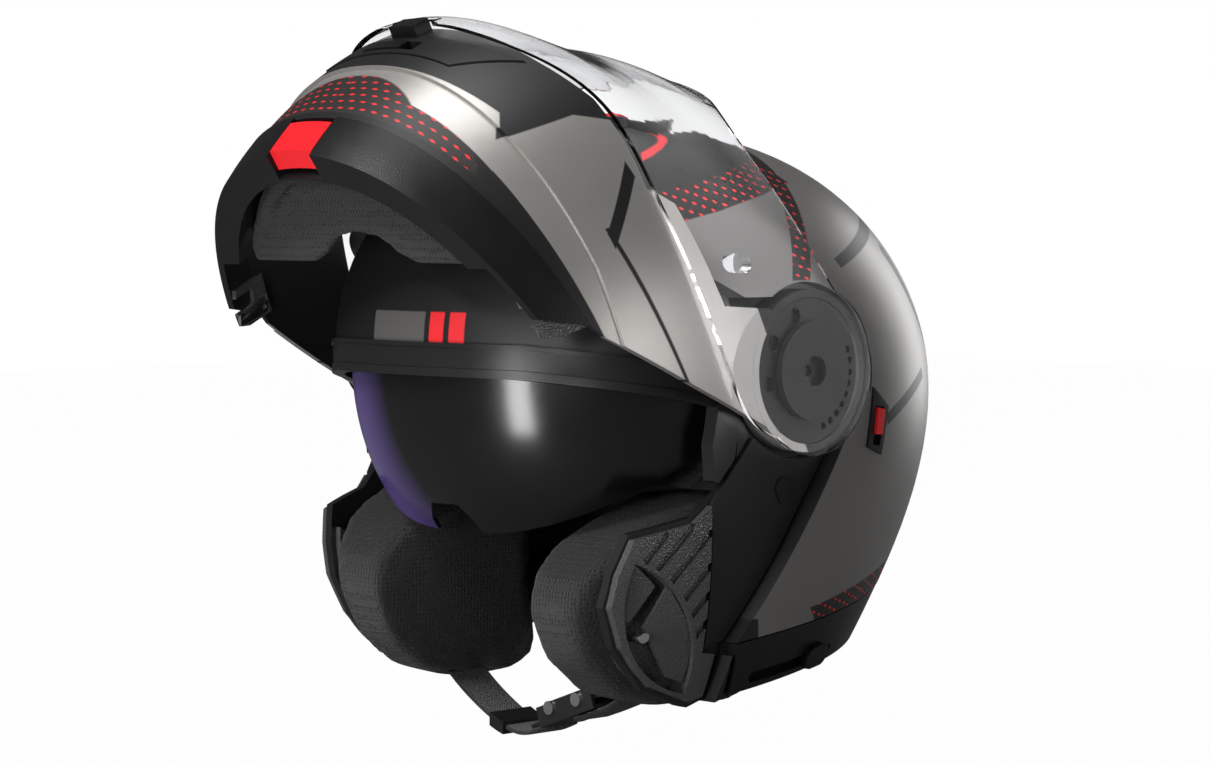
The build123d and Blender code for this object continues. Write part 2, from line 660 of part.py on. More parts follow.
# Sun lens and its slider
lens_region = joined(side_block(lens_shares), both_sides(drum(lens_eye_radius, 0.0, overrun)))
sun_visor = without(layer(lens_skin(), lens_skin(lens_wall), lens_region), pin_bores,
                    front_block(nose_notch_shares))
write(sun_visor, "sun_visor")
with BuildPart() as knob_block:
    with BuildSketch(Plane.YZ):
        with Locations(*side_points([slider_share])):
            SlotOverall(slider_knob_length, slider_knob_height, rotation=slot_angle)
    extrude(amount=overrun)
with BuildPart() as stem_block:
    with BuildSketch(Plane.YZ):
        with Locations(*side_points([slider_share])):
            SlotOverall(slider_knob_length - slider_knob_height / 2, slider_slot_height - 2 * move_gap,
                        rotation=slot_angle)
    extrude(amount=overrun)
sun_visor_slider = joined(
    layer(shell_skin(-slider_proud), shell_skin(trim_drop - fit_gap - move_gap), knob_block.part),
    layer(shell_skin(trim_drop - fit_gap - move_gap), shell_skin(trim_drop + slider_slot_depth - move_gap),
          stem_block.part))
write(sun_visor_slider, "sun_visor_slider")



# Vents of the shell
def top_block(half_width, half_length, behind, corner=0.0):
    """Upright block over a rectangle seen from above."""
    with BuildPart() as block:
        with BuildSketch() as outline:
            with Locations((0, behind)):
                Rectangle(2 * half_width, 2 * half_length)
            if corner:
                fillet(outline.vertices(), radius=corner)
        extrude(amount=overrun)
    return block.part


vent_slot = top_block(vent_slot_half_width, vent_slot_half_length, vent_centre)
vent_outline = top_block(vent_half_width, vent_half_length, vent_centre, vent_round)
top_vent_cover = without(layer(shell_skin(-vent_proud), shell_skin(-seat_gap), vent_outline), vent_slot)
write(top_vent_cover, "top_vent_cover")
knob_centre = vent_centre - vent_slot_half_length + move_gap + vent_knob_half_length
top_vent_slider = layer(shell_skin(-vent_proud - vent_knob_rise), shell_skin(-vent_knob_gap),
                        top_block(vent_slot_half_width - move_gap, vent_knob_half_length, knob_centre))
write(top_vent_slider, "top_vent_slider")

with BuildPart() as rear_slots:
    for step in range(rear_slot_count):
        centre = (step - (rear_slot_count - 1) / 2) * rear_slot_pitch
        add(side_block(rear_slot_shares, 0.0, centre - rear_slot_width / 2, centre + rear_slot_width / 2))
rear_vent = without(layer(shell_skin(-rear_vent_proud), shell_skin(-seat_gap),
                          side_block(rear_vent_shares, 0.0, -rear_vent_half_width, rear_vent_half_width)),
                    layer(shell_skin(-rear_vent_proud * 2), shell_skin(-rear_vent_proud / 2), rear_slots.part))
write(rear_vent, "rear_vent")

# Chin bar
arm_disc = without(drum(arm_disc_radius, pivot_floor + move_gap, arm_disc_face),
                   drum(ratchet_radius, ratchet_seat, overrun), drum(hub_radius + hub_fit, 0.0, overrun))
arm_skin = without(layer(chin_skin(), chin_skin(chin_wall), side_block(chin_shares)),
                   both_sides(drum(arm_disc_radius, 0.0, overrun)))
catch_room = without(side_block(catch_shares, seat_gap, -catch_half_width - seat_gap,
                                catch_half_width + seat_gap), chin_skin(chin_wall + seat_gap))
vent_room = without(front_block(vent_insert_shares, vent_insert_back_share),
                    chin_skin(vent_insert_floor + seat_gap))
chin_bar_shell = without(joined(arm_skin, both_sides(arm_disc)), catch_room, vent_room,
                         without(side_block(crease_shares), chin_skin(crease_depth)))
write(raised(chin_bar_shell), "chin_bar_shell")

vent_cover = without(layer(chin_skin(-vent_insert_depth / 2), chin_skin(vent_insert_floor),
                           front_block(vent_insert_shares, vent_insert_back_share, -move_gap)),
                     front_block(chin_slot_shares, vent_insert_back_share), catch_room)
write(raised(vent_cover), "chin_vent_cover")
chin_vent_slider = layer(chin_skin(-chin_knob_proud), chin_skin(chin_knob_foot),
                         front_block(chin_knob_shares, vent_insert_back_share))
write(raised(chin_vent_slider), "chin_vent_slider")
visor_catch = layer(chin_skin(-catch_proud), chin_skin(chin_wall - seat_gap),
                    side_block(catch_shares, 0.0, -catch_half_width, catch_half_width))
write(raised(visor_catch), "visor_catch")

chin_rim_trim = without(layer(chin_skin(fit_gap), chin_skin(fit_gap + chin_trim_depth),
                              side_block(chin_trim_shares)),
                        layer(chin_skin(trim_rear_depth), chin_skin(deep_inside), side_block(trim_rear_shares)),
                        without(front_block(button_gap_shares), chin_skin(button_room)))
write(raised(chin_rim_trim), "chin_rim_trim")
release_button = layer(chin_skin(fit_gap), chin_skin(button_depth),
                       side_block(button_shares, 0.0, -button_half_width, button_half_width))
write(raised(release_button), "release_button")

foam_outer = chin_wall + fit_gap
chin_foam = layer(chin_skin(foam_outer), chin_skin(foam_outer + foam_depth), side_block(foam_shares))
write(raised(chin_foam), "chin_foam")
mesh_outer = foam_outer + foam_depth + fit_gap
chin_mesh_pad = without(layer(chin_skin(mesh_outer), chin_skin(mesh_outer + mesh_pad_depth),
                              side_block(mesh_pad_shares)), front_block(mesh_dip_shares))
write(raised(chin_mesh_pad), "chin_mesh_pad")

hook_up = Vector(0, 0, 1)
hook_normal = Vector(cos(radians(hook_lean)) * cos(radians(hook_toe_in)),
                     -cos(radians(hook_lean)) * sin(radians(hook_toe_in)), -sin(radians(hook_lean)))
hook_place = side_points([hook_pivot_share])[0]
hook_plane = Plane(origin=(hook_pivot_reach, *hook_place), x_dir=hook_up.cross(hook_normal), z_dir=hook_normal)
with BuildPart() as hook_post:
    with BuildSketch(hook_plane):
        Circle(hook_pin_radius)
    extrude(amount=latch_box_depth, both=True)
with BuildPart() as latch_hook:
    with BuildSketch(hook_plane):
        with BuildLine():
            Polyline(*side_points(hook_shares), close=True)
        make_face()
        Circle(hook_pivot_radius)
        Circle(hook_pin_radius + hub_fit, mode=Mode.SUBTRACT)
    extrude(amount=-hook_thickness)
write_pair(raised(latch_hook.part), "latch_hook")
latch_pocket = without(layer(chin_skin(hook_room_depth), chin_skin(deep_inside), left_block(hook_room_shares)),
                       hook_post.part)
latch_box = without(layer(chin_skin(chin_wall + seat_gap), chin_skin(latch_box_depth),
                          left_block(latch_box_shares)), left_block(latch_mouth_shares), latch_pocket)
write_pair(raised(latch_box), "latch_box")

ratchet_face = arm_disc_face - ratchet_drop
with BuildPart() as ratchet:
    add(drum(ratchet_radius - fit_gap, ratchet_seat + seat_gap, ratchet_face))
    add(drum(track_bore, 0.0, overrun), mode=Mode.SUBTRACT)
    with BuildSketch(Plane.YZ.offset(ratchet_face)):
        Circle(track_outer)
        Circle(track_inner, mode=Mode.SUBTRACT)
    extrude(amount=-track_depth, mode=Mode.SUBTRACT)
    with BuildSketch(Plane.YZ.offset(ratchet_face)):
        with PolarLocations(tooth_circle, tooth_count, start_angle=0, angular_range=tooth_pitch * tooth_count):
            Circle(tooth_radius)
        with PolarLocations(window_circle, window_count, start_angle=180, angular_range=120):
            Circle(window_radius)
    extrude(amount=-track_depth, mode=Mode.SUBTRACT)
write_pair(raised(ratchet.part), "visor_ratchet")

# Visor
with BuildPart() as visor_outline:
    with BuildSketch(Plane.YZ.offset(-overrun)):
        with BuildLine():
            upper = Spline(*side_points(visor_upper_shares))
            lower = Spline(*side_points(visor_lower_shares))
            Line(upper @ 1, lower @ 0)
            Line(lower @ 1, upper @ 0)
        make_face()
    extrude(amount=2 * overrun)
visor_region = joined(visor_outline.part, both_sides(drum(visor_pod_radius, 0.0, overrun)))
visor_shield = without(layer(visor_skin(), visor_skin(visor_wall), visor_region),
                       front_block(visor_notch_shares, visor_upper_shares[-1][0]))
write(raised(visor_shield), "visor_shield")
visor_inside = visor_skin(visor_wall + seat_gap)
with BuildPart() as visor_hub:
    add(drum(visor_hub_radius, arm_disc_face + move_gap, overrun))
    add(visor_inside, mode=Mode.INTERSECT)
    add(drum(track_outer - 2 * hub_fit, ratchet_face - track_depth + fit_gap, arm_disc_face + 2 * move_gap))
    add(drum(track_inner + 2 * hub_fit, 0.0, arm_disc_face + move_gap), mode=Mode.SUBTRACT)
    add(drum(visor_hub_bore, 0.0, overrun), mode=Mode.SUBTRACT)
write_pair(raised(visor_hub.part), "visor_hub")
antifog_pin = layer(visor_inside, visor_skin(visor_wall + seat_gap + antifog_length),
                    drum(antifog_radius, 0.0, overrun, antifog_places_share))
write_pair(raised(antifog_pin), "antifog_pin")

# Strap
buckle_x, buckle_z = front_points([buckle_centre_share])[0]
buckle_plane = Plane(origin=(buckle_x, -strap_forward, buckle_z),
                     x_dir=(cos(radians(buckle_tilt)), 0, sin(radians(buckle_tilt))), z_dir=(0, -1, 0))


def buckle_bar(start, end, low, high, half_width):
    """Bar in the buckle's own frame: along it, up from its base, and across."""
    with BuildPart() as bar:
        with BuildSketch(buckle_plane):
            with Locations(((start + end) / 2, (low + high) / 2)):
                Rectangle(end - start, high - low)
        extrude(amount=half_width, both=True)
    return bar.part


def buckle_rod(place, radius, half_width):
    """Rod across the buckle."""
    with BuildPart() as rod:
        with BuildSketch(buckle_plane):
            with Locations(place):
                Circle(radius)
        extrude(amount=half_width, both=True)
    return rod.part


write(strap_band(strap_left_shares, strap_thickness, strap_width), "strap_left")
write(strap_band(strap_right_shares, strap_thickness, strap_width), "strap_right")
keeper_gap = 2 * hub_fit
strap_keeper = layer(strap_band(strap_right_shares, strap_thickness + 2 * (keeper_gap + keeper_wall),
                                strap_width + 2 * (keeper_gap + keeper_wall)),
                     strap_band(strap_right_shares, strap_thickness + 2 * keeper_gap,
                                strap_width + 2 * keeper_gap), width_block(keeper_start, keeper_end))
write(strap_keeper, "strap_keeper")

with BuildPart() as strap_anchor:
    with BuildSketch(Plane.YZ.offset(anchor_face)) as anchor_outline:
        with Locations(*side_points([(anchor_forward, anchor_up)])):
            Rectangle(strap_width, 2 * anchor_half_plate)
        fillet(anchor_outline.vertices(), radius=anchor_thickness)
    extrude(amount=anchor_thickness)
    add(layer(stepped_form(shell_wall + seat_gap), width_block(-overrun, anchor_face),
              drum(anchor_rivet_radius, 0.0, overrun, (anchor_forward, anchor_up))))
write_pair(strap_anchor.part, "strap_anchor")

wall_inside = buckle_half_width - buckle_wall
buckle_housing = without(
    buckle_bar(-buckle_half_length, buckle_half_length, 0.0, buckle_height, buckle_half_width),
    buckle_bar(-buckle_half_length * 2, buckle_half_length * 2, buckle_wall, buckle_height * 2, wall_inside),
    buckle_rod(lever_pin_place, pin_radius + hub_fit, strap_forward),
    buckle_rod(stop_pin_place, pin_radius + hub_fit, strap_forward))
write(buckle_housing, "buckle_housing")
for place, name in ((lever_pin_place, "lever_pin"), (stop_pin_place, "stop_pin")):
    pin = joined(buckle_rod(place, pin_radius, buckle_half_width + seat_gap),
                 without(buckle_rod(place, pin_head_radius, buckle_half_width + seat_gap + pin_head),
                         buckle_rod(place, pin_head_radius * 2, buckle_half_width + seat_gap)))
    write(pin, name)
buckle_lever = without(
    joined(buckle_bar(lever_start, lever_end, lever_base, lever_base + lever_thickness, lever_half_width),
           buckle_rod(lever_pin_place, lever_boss_radius, lever_half_width),
           buckle_bar(-lever_nose_half_length, lever_nose_half_length, lever_nose_base,
                      lever_base + lever_thickness / 2, lever_nose_half_width)),
    buckle_rod(lever_pin_place, pin_radius + hub_fit, strap_forward))
write(buckle_lever, "buckle_lever")
lever_tab = buckle_bar(lever_end + seat_gap, lever_end + tab_length, lever_base - tab_drop,
                       lever_base + lever_thickness, lever_half_width)
write(lever_tab, "lever_tab")
with BuildPart() as ratchet_strip:
    add(buckle_bar(strip_start, strip_end, strip_base, strip_base + strip_thickness, strip_half_width))
    for step in range(strip_tooth_count):
        middle = (step - strip_tooth_count / 2 + 1 / 2) * strip_tooth_pitch
        add(buckle_bar(middle - strip_tooth_length / 2, middle + strip_tooth_length / 2, strip_base,
                       strip_base + strip_thickness + strip_tooth_height, strip_half_width))
write(ratchet_strip.part, "ratchet_strip")
for step, name in enumerate(("strip_rivet_inner", "strip_rivet_outer")):
    rivet = buckle_bar(rivet_places[step] - rivet_radius, rivet_places[step] + rivet_radius,
                       strip_base + strip_thickness + seat_gap,
                       strip_base + strip_thickness + seat_gap + rivet_head, rivet_radius)
    write(rivet, name)
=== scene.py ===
"""Flip-up helmet with its chin bar and clear visor raised, dressed on the CAD frame."""

from __future__ import annotations

import json
import logging
import math
from collections.abc import Iterable, Sequence
from dataclasses import dataclass, field
from enum import Enum

import bmesh
import bpy
from mathutils import Matrix, Vector
from mathutils.bvhtree import BVHTree

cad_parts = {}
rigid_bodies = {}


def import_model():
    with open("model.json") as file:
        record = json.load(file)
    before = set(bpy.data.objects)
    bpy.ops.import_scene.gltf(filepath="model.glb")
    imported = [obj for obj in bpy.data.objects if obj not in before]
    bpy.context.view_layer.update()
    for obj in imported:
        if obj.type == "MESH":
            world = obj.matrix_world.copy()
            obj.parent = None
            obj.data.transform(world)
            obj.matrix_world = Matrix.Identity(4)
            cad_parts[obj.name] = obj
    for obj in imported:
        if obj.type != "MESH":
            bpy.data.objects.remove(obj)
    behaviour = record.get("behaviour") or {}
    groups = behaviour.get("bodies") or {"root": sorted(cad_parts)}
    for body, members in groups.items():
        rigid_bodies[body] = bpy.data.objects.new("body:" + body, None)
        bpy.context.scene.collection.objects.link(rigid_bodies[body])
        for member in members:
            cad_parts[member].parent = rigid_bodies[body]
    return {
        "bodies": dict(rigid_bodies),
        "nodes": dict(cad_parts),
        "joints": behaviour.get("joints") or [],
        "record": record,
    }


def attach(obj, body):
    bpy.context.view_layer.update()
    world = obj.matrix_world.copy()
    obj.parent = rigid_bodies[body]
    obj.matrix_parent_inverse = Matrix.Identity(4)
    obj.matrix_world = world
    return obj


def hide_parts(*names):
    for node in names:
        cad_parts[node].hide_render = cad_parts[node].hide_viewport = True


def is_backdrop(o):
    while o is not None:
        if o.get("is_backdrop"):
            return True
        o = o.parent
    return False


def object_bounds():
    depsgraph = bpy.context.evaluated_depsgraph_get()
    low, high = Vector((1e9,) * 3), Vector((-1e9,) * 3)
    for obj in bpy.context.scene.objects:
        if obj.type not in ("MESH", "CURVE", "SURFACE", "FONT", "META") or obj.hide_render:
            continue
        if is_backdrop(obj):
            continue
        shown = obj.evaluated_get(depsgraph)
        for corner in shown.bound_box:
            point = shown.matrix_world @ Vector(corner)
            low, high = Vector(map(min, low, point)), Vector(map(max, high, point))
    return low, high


LOG = logging.getLogger("helmet")
MM = 0.001
CHIN_RAISE = math.radians(69.0)
FLOOR_DROP = 0.002

Colour = tuple[float, float, float]
Point2 = tuple[float, float]

RED_PAINT: Colour = (0.62, 0.018, 0.024)


class Frame(Enum):
    """The position in which a piece's paint is laid out."""

    SHELL = 0.0
    CHIN = CHIN_RAISE


class NodeWriter:
    """Adds shader nodes to one tree and links them."""

    def __init__(self, tree: bpy.types.NodeTree) -> None:
        """Keeps the tree that is written to."""
        self.tree = tree

    def add(self, kind: str, **settings: object) -> bpy.types.Node:
        """Adds a node.

        Args:
            kind: The node's Blender type.
            settings: Properties of the node.

        Returns:
            The new node.
        """
        node = self.tree.nodes.new(kind)
        for name, value in settings.items():
            setattr(node, name, value)
        return node

    def link(self, source: bpy.types.NodeSocket, target: bpy.types.NodeSocket) -> None:
        """Joins an output to an input."""
        self.tree.links.new(source, target)

    def feed(self, node: bpy.types.Node, index: int | str, value: object) -> None:
        """Sets an input, or links it where the value is a socket."""
        if isinstance(value, bpy.types.NodeSocket):
            self.link(value, node.inputs[index])
        elif value is not None:
            node.inputs[index].default_value = value

    def math(self, operation: str, first: object, second: object = None, third: object = None,
             clamp: bool = False) -> bpy.types.NodeSocket:
        """Adds a math node.

        Args:
            operation: The node's operation.
            first: First value or socket.
            second: Second value or socket.
            third: Third value or socket.
            clamp: Whether the result stays from 0 to 1.

        Returns:
            The node's output.
        """
        node = self.add("ShaderNodeMath", operation=operation, use_clamp=clamp)
        for index, value in enumerate((first, second, third)):
            self.feed(node, index, value)
        return node.outputs[0]

    def mix(self, factor: object, first: object, second: object) -> bpy.types.NodeSocket:
        """Mixes two colours.

        Args:
            factor: Share of the second colour.
            first: First colour or socket.
            second: Second colour or socket.

        Returns:
            The mixed colour.
        """
        node = self.add("ShaderNodeMix", data_type="RGBA")
        for name, value in (("Factor", factor), ("A", first), ("B", second)):
            target = next(s for s in node.inputs if s.name == name and s.enabled)
            if isinstance(value, bpy.types.NodeSocket):
                self.link(value, target)
            elif name == "Factor":
                target.default_value = value
            else:
                target.default_value = (*value, 1.0)
        return next(s for s in node.outputs if s.enabled)

    def level(self, value: object, low: float, high: float, to_low: float = 0.0,
              to_high: float = 1.0) -> bpy.types.NodeSocket:
        """Maps a value from one range to another, clamped.

        Args:
            value: Value or socket.
            low: Lower end of the input.
            high: Upper end of the input.
            to_low: Output at the lower end.
            to_high: Output at the upper end.

        Returns:
            The mapped value.
        """
        node = self.add("ShaderNodeMapRange", clamp=True)
        for index, number in enumerate((value, low, high, to_low, to_high)):
            self.feed(node, index, number)
        return node.outputs[0]

    def seen(self) -> bpy.types.NodeSocket:
        """1 for rays from the camera, straight or through clear plastic, 0 for the rest."""
        path = self.add("ShaderNodeLightPath")
        return self.math("MAXIMUM", path.outputs["Is Camera Ray"], path.outputs["Is Transmission Ray"])


class Effects:
    """Shader node groups that several finishes share."""

    TONE_DETAIL = 4.0
    TONE_SCALE = 38.0
    GRAIN_TOP = 0.8
    PIT_RANDOMNESS = 0.25
    PIT_SMOOTHNESS = 0.25
    PIT_EDGE = (0.24, 0.44)
    YARNS_PER_CELL = 2.0
    YARN_HEIGHT = 0.3
    ROW_SPACING = 0.78
    LOZENGE_SLANT = 1.9
    LOZENGE_EDGE = (0.27, 0.33)

    def __init__(self) -> None:
        """Starts with no group built."""
        self.built: dict[str, bpy.types.NodeTree] = {}

    @staticmethod
    def start(name: str, inputs: Sequence[tuple[str, str, object]],
              outputs: Sequence[tuple[str, str]]) -> tuple[bpy.types.NodeTree, NodeWriter]:
        """Makes an empty group with its sockets.

        Args:
            name: The group's name.
            inputs: Name, socket type and default of each input.
            outputs: Name and socket type of each output.

        Returns:
            The group and a writer on it.
        """
        group = bpy.data.node_groups.new(name, "ShaderNodeTree")
        for label, kind, default in inputs:
            socket = group.interface.new_socket(name=label, in_out="INPUT", socket_type=kind)
            if default is not None:
                socket.default_value = default
        for label, kind in outputs:
            group.interface.new_socket(name=label, in_out="OUTPUT", socket_type=kind)
        return group, NodeWriter(group)

    def grain(self) -> bpy.types.NodeTree:
        """Fine moulded grain: a height, and a tone that drifts slowly over the part."""
        if "grain" not in self.built:
            group, write = self.start(
                "Moulded grain",
                [("Vector", "NodeSocketVector", None), ("Scale", "NodeSocketFloat", 900.0)],
                [("Height", "NodeSocketFloat"), ("Tone", "NodeSocketFloat")])
            source, sink = write.add("NodeGroupInput"), write.add("NodeGroupOutput")
            fine = write.add("ShaderNodeTexVoronoi", feature="F1")
            slow = write.add("ShaderNodeTexNoise")
            slow.inputs["Detail"].default_value = self.TONE_DETAIL
            slow.inputs["Scale"].default_value = self.TONE_SCALE
            write.link(source.outputs["Vector"], fine.inputs["Vector"])
            write.link(source.outputs["Scale"], fine.inputs["Scale"])
            write.link(source.outputs["Vector"], slow.inputs["Vector"])
            write.link(write.level(fine.outputs["Distance"], 0.0, self.GRAIN_TOP), sink.inputs["Height"])
            write.link(slow.outputs["Fac"], sink.inputs["Tone"])
            self.built["grain"] = group
        return self.built["grain"]

    def knit(self) -> bpy.types.NodeTree:
        """Open spacer knit: a height with round pits, and a mask of the pits."""
        if "knit" not in self.built:
            group, write = self.start(
                "Spacer knit",
                [("Vector", "NodeSocketVector", None), ("Scale", "NodeSocketFloat", 330.0)],
                [("Height", "NodeSocketFloat"), ("Pit", "NodeSocketFloat")])
            source, sink = write.add("NodeGroupInput"), write.add("NodeGroupOutput")
            cells = write.add("ShaderNodeTexVoronoi", feature="SMOOTH_F1")
            cells.inputs["Randomness"].default_value = self.PIT_RANDOMNESS
            cells.inputs["Smoothness"].default_value = self.PIT_SMOOTHNESS
            yarn = write.add("ShaderNodeTexWave", wave_type="BANDS", bands_direction="DIAGONAL")
            write.link(source.outputs["Vector"], cells.inputs["Vector"])
            write.link(source.outputs["Scale"], cells.inputs["Scale"])
            write.link(source.outputs["Vector"], yarn.inputs["Vector"])
            yarns = write.math("MULTIPLY", source.outputs["Scale"], self.YARNS_PER_CELL)
            write.link(yarns, yarn.inputs["Scale"])
            pit = write.level(cells.outputs["Distance"], *self.PIT_EDGE, 1.0, 0.0)
            yarn_height = write.math("MULTIPLY", yarn.outputs["Fac"], self.YARN_HEIGHT)
            height = write.math("SUBTRACT", yarn_height, pit)
            write.link(height, sink.inputs["Height"])
            write.link(pit, sink.inputs["Pit"])
            self.built["knit"] = group
        return self.built["knit"]

    def lozenges(self) -> bpy.types.NodeTree:
        """Staggered rows of small lozenges over the side view."""
        if "lozenges" not in self.built:
            group, write = self.start(
                "Lozenge rows",
                [("Along", "NodeSocketFloat", 0.0), ("Across", "NodeSocketFloat", 0.0),
                 ("Pitch", "NodeSocketFloat", 0.006)],
                [("Mask", "NodeSocketFloat")])
            source, sink = write.add("NodeGroupInput"), write.add("NodeGroupOutput")
            pitch = source.outputs["Pitch"]
            spacing = write.math("MULTIPLY", pitch, self.ROW_SPACING)
            row = write.math("DIVIDE", source.outputs["Across"], spacing)
            odd = write.math("FLOORED_MODULO", write.math("FLOOR", row), 2.0)
            column = write.math("ADD", write.math("DIVIDE", source.outputs["Along"], pitch),
                                write.math("MULTIPLY", odd, 0.5))
            out = write.math("ABSOLUTE", write.math("SUBTRACT", write.math("FRACT", column), 0.5))
            up = write.math("ABSOLUTE", write.math("SUBTRACT", write.math("FRACT", row), 0.5))
            reach = write.math("ADD", out, write.math("MULTIPLY", up, self.LOZENGE_SLANT))
            write.link(write.level(reach, *self.LOZENGE_EDGE, 1.0, 0.0), sink.inputs["Mask"])
            self.built["lozenges"] = group
        return self.built["lozenges"]


class Paint(NodeWriter):
    """A material's tree, with coordinates laid out in one frame."""

    GIRTH = 0.135
    BROW_FORWARD = (0.06, 0.061)
    INNER_FADE = 0.004
    LACQUER = {"Specular IOR Level": 0.35, "Coat Weight": 0.06, "Coat Roughness": 0.35}
    LACQUER_GRAIN = 2600.0
    LACQUER_DEPTH = 0.00002

    def __init__(self, material: bpy.types.Material, effects: Effects, layout: Frame = Frame.SHELL) -> None:
        """Starts a material with its shader and coordinates.

        Args:
            material: The material to write.
            effects: The shared groups.
            layout: Which position the coordinates are in.
        """
        material.use_nodes = True
        super().__init__(material.node_tree)
        self.effects = effects
        self.shader = next(n for n in self.tree.nodes if n.type == "BSDF_PRINCIPLED")
        place = self.add("ShaderNodeTexCoord").outputs["Object"]
        if layout is Frame.CHIN:
            turn = self.add("ShaderNodeVectorRotate", rotation_type="X_AXIS")
            turn.inputs["Angle"].default_value = layout.value
            self.link(place, turn.inputs["Vector"])
            place = turn.outputs["Vector"]
        self.place = place
        split = self.add("ShaderNodeSeparateXYZ")
        self.link(place, split.inputs[0])
        self.left = split.outputs["X"]
        self.across = self.math("ABSOLUTE", split.outputs["X"])
        self.forward = self.math("MULTIPLY", split.outputs["Y"], -1.0)
        self.up = split.outputs["Z"]
        self.round = self.math("MULTIPLY", self.math("ARCTAN2", self.across, self.forward), self.GIRTH)

    def set(self, name: str, value: object) -> None:
        """Sets a number or colour on the shader, or links it."""
        if isinstance(value, bpy.types.NodeSocket):
            self.link(value, self.shader.inputs[name])
        elif isinstance(value, tuple) and len(value) == 3:
            self.shader.inputs[name].default_value = (*value, 1.0)
        else:
            self.shader.inputs[name].default_value = value

    def group(self, tree: bpy.types.NodeTree, **values: object) -> bpy.types.Node:
        """Places a shared group.

        Args:
            tree: The group.
            values: Its inputs, by name.

        Returns:
            The group node.
        """
        node = self.add("ShaderNodeGroup")
        node.node_tree = tree
        for name, value in values.items():
            self.feed(node, name, value)
        return node

    def bump(self, height: bpy.types.NodeSocket, distance: float, strength: float = 1.0) -> None:
        """Roughens the surface by a height in metres."""
        node = self.add("ShaderNodeBump")
        node.inputs["Distance"].default_value = distance
        node.inputs["Strength"].default_value = strength
        self.link(height, node.inputs["Height"])
        self.link(node.outputs["Normal"], self.shader.inputs["Normal"])

    def drift(self, tone: bpy.types.NodeSocket, colour: Colour, share: float) -> bpy.types.NodeSocket:
        """A colour that turns a little darker and lighter with a tone.

        Args:
            tone: The tone, from 0 to 1.
            colour: The middle colour.
            share: How far it drifts either way, as a share of itself.

        Returns:
            The drifting colour.
        """
        darker = tuple(c * (1.0 - share) for c in colour)
        lighter = tuple(min(1.0, c * (1.0 + share)) for c in colour)
        return self.mix(tone, darker, lighter)

    def lacquer(self, height: bpy.types.NodeSocket) -> None:
        """Gives the painted shells their thin satin coat over a fine grain."""
        for name, value in self.LACQUER.items():
            self.set(name, value)
        self.bump(height, self.LACQUER_DEPTH)

    def half_plane(self, start: Point2, end: Point2, soft: float = 0.0003) -> bpy.types.NodeSocket:
        """Mask of what lies left of a line over the side view.

        Args:
            start: (forward, up) of the line's start, in millimetres.
            end: The same of its end.
            soft: Half width of the mask's edge, in metres.

        Returns:
            1 to the left of the line, 0 to the right.
        """
        along = Vector((end[0] - start[0], end[1] - start[1])).normalized()
        normal = Vector((-along.y, along.x))
        offset = (normal.x * start[0] + normal.y * start[1]) * MM
        first = self.math("MULTIPLY", self.forward, normal.x)
        total = self.math("MULTIPLY_ADD", self.up, normal.y, first)
        return self.level(total, offset - soft, offset + soft)

    def polygon(self, points: Sequence[Point2], soft: float = 0.0003) -> bpy.types.NodeSocket:
        """Mask of a convex patch over the side view.

        Args:
            points: (forward, up) corners in millimetres, in order round the patch.
            soft: Half width of the mask's edge, in metres.

        Returns:
            1 inside the patch, 0 outside.
        """
        turn = sum(a[0] * b[1] - b[0] * a[1] for a, b in zip(points, [*points[1:], points[0]]))
        points = list(points) if turn > 0.0 else list(reversed(points))
        mask = None
        for start, end in zip(points, [*points[1:], points[0]]):
            side = self.half_plane(start, end, soft)
            mask = side if mask is None else self.math("MINIMUM", mask, side)
        return mask

    def outside(self) -> bpy.types.NodeSocket:
        """1 where the surface faces away from the head, 0 on the inner side."""
        geometry = self.add("ShaderNodeNewGeometry")
        facing = self.add("ShaderNodeVectorMath", operation="DOT_PRODUCT")
        self.link(geometry.outputs["True Normal"], facing.inputs[0])
        self.link(geometry.outputs["Position"], facing.inputs[1])
        return self.level(facing.outputs["Value"], 0.0, self.INNER_FADE)

    def union(self, masks: Iterable[bpy.types.NodeSocket]) -> bpy.types.NodeSocket:
        """The largest of several masks."""
        masks = list(masks)
        total = masks[0]
        for mask in masks[1:]:
            total = self.math("MAXIMUM", total, mask)
        return total

    def block(self, left: Point2, up: Point2, soft: float = 0.0003) -> bpy.types.NodeSocket:
        """Mask of an upright block on the brow.

        Args:
            left: Its ends towards the wearer's right and left, in millimetres.
            up: Its lower and upper ends.
            soft: Half width of the mask's edge, in metres.

        Returns:
            1 inside the block at the front, 0 elsewhere.
        """
        mask = self.level(self.forward, *self.BROW_FORWARD)
        for value, (low, high) in ((self.left, left), (self.up, up)):
            middle, half = (low + high) / 2 * MM, (high - low) / 2 * MM
            away = self.math("ABSOLUTE", self.math("SUBTRACT", value, middle))
            mask = self.math("MULTIPLY", mask, self.level(away, half - soft, half + soft, 1.0, 0.0))
        return mask

    def rows(self, angle: float, pitch: float) -> bpy.types.NodeSocket:
        """Rows of lozenges that run at an angle over the side view.

        Args:
            angle: Degrees up from forward.
            pitch: Spacing along a row, in metres.

        Returns:
            The mask of the lozenges.
        """
        cosine, sine = math.cos(math.radians(angle)), math.sin(math.radians(angle))
        along = self.math("MULTIPLY_ADD", self.up, sine, self.math("MULTIPLY", self.round, -cosine))
        across = self.math("MULTIPLY_ADD", self.up, cosine, self.math("MULTIPLY", self.round, sine))
        return self.group(self.effects.lozenges(), Along=along, Across=across, Pitch=pitch).outputs["Mask"]


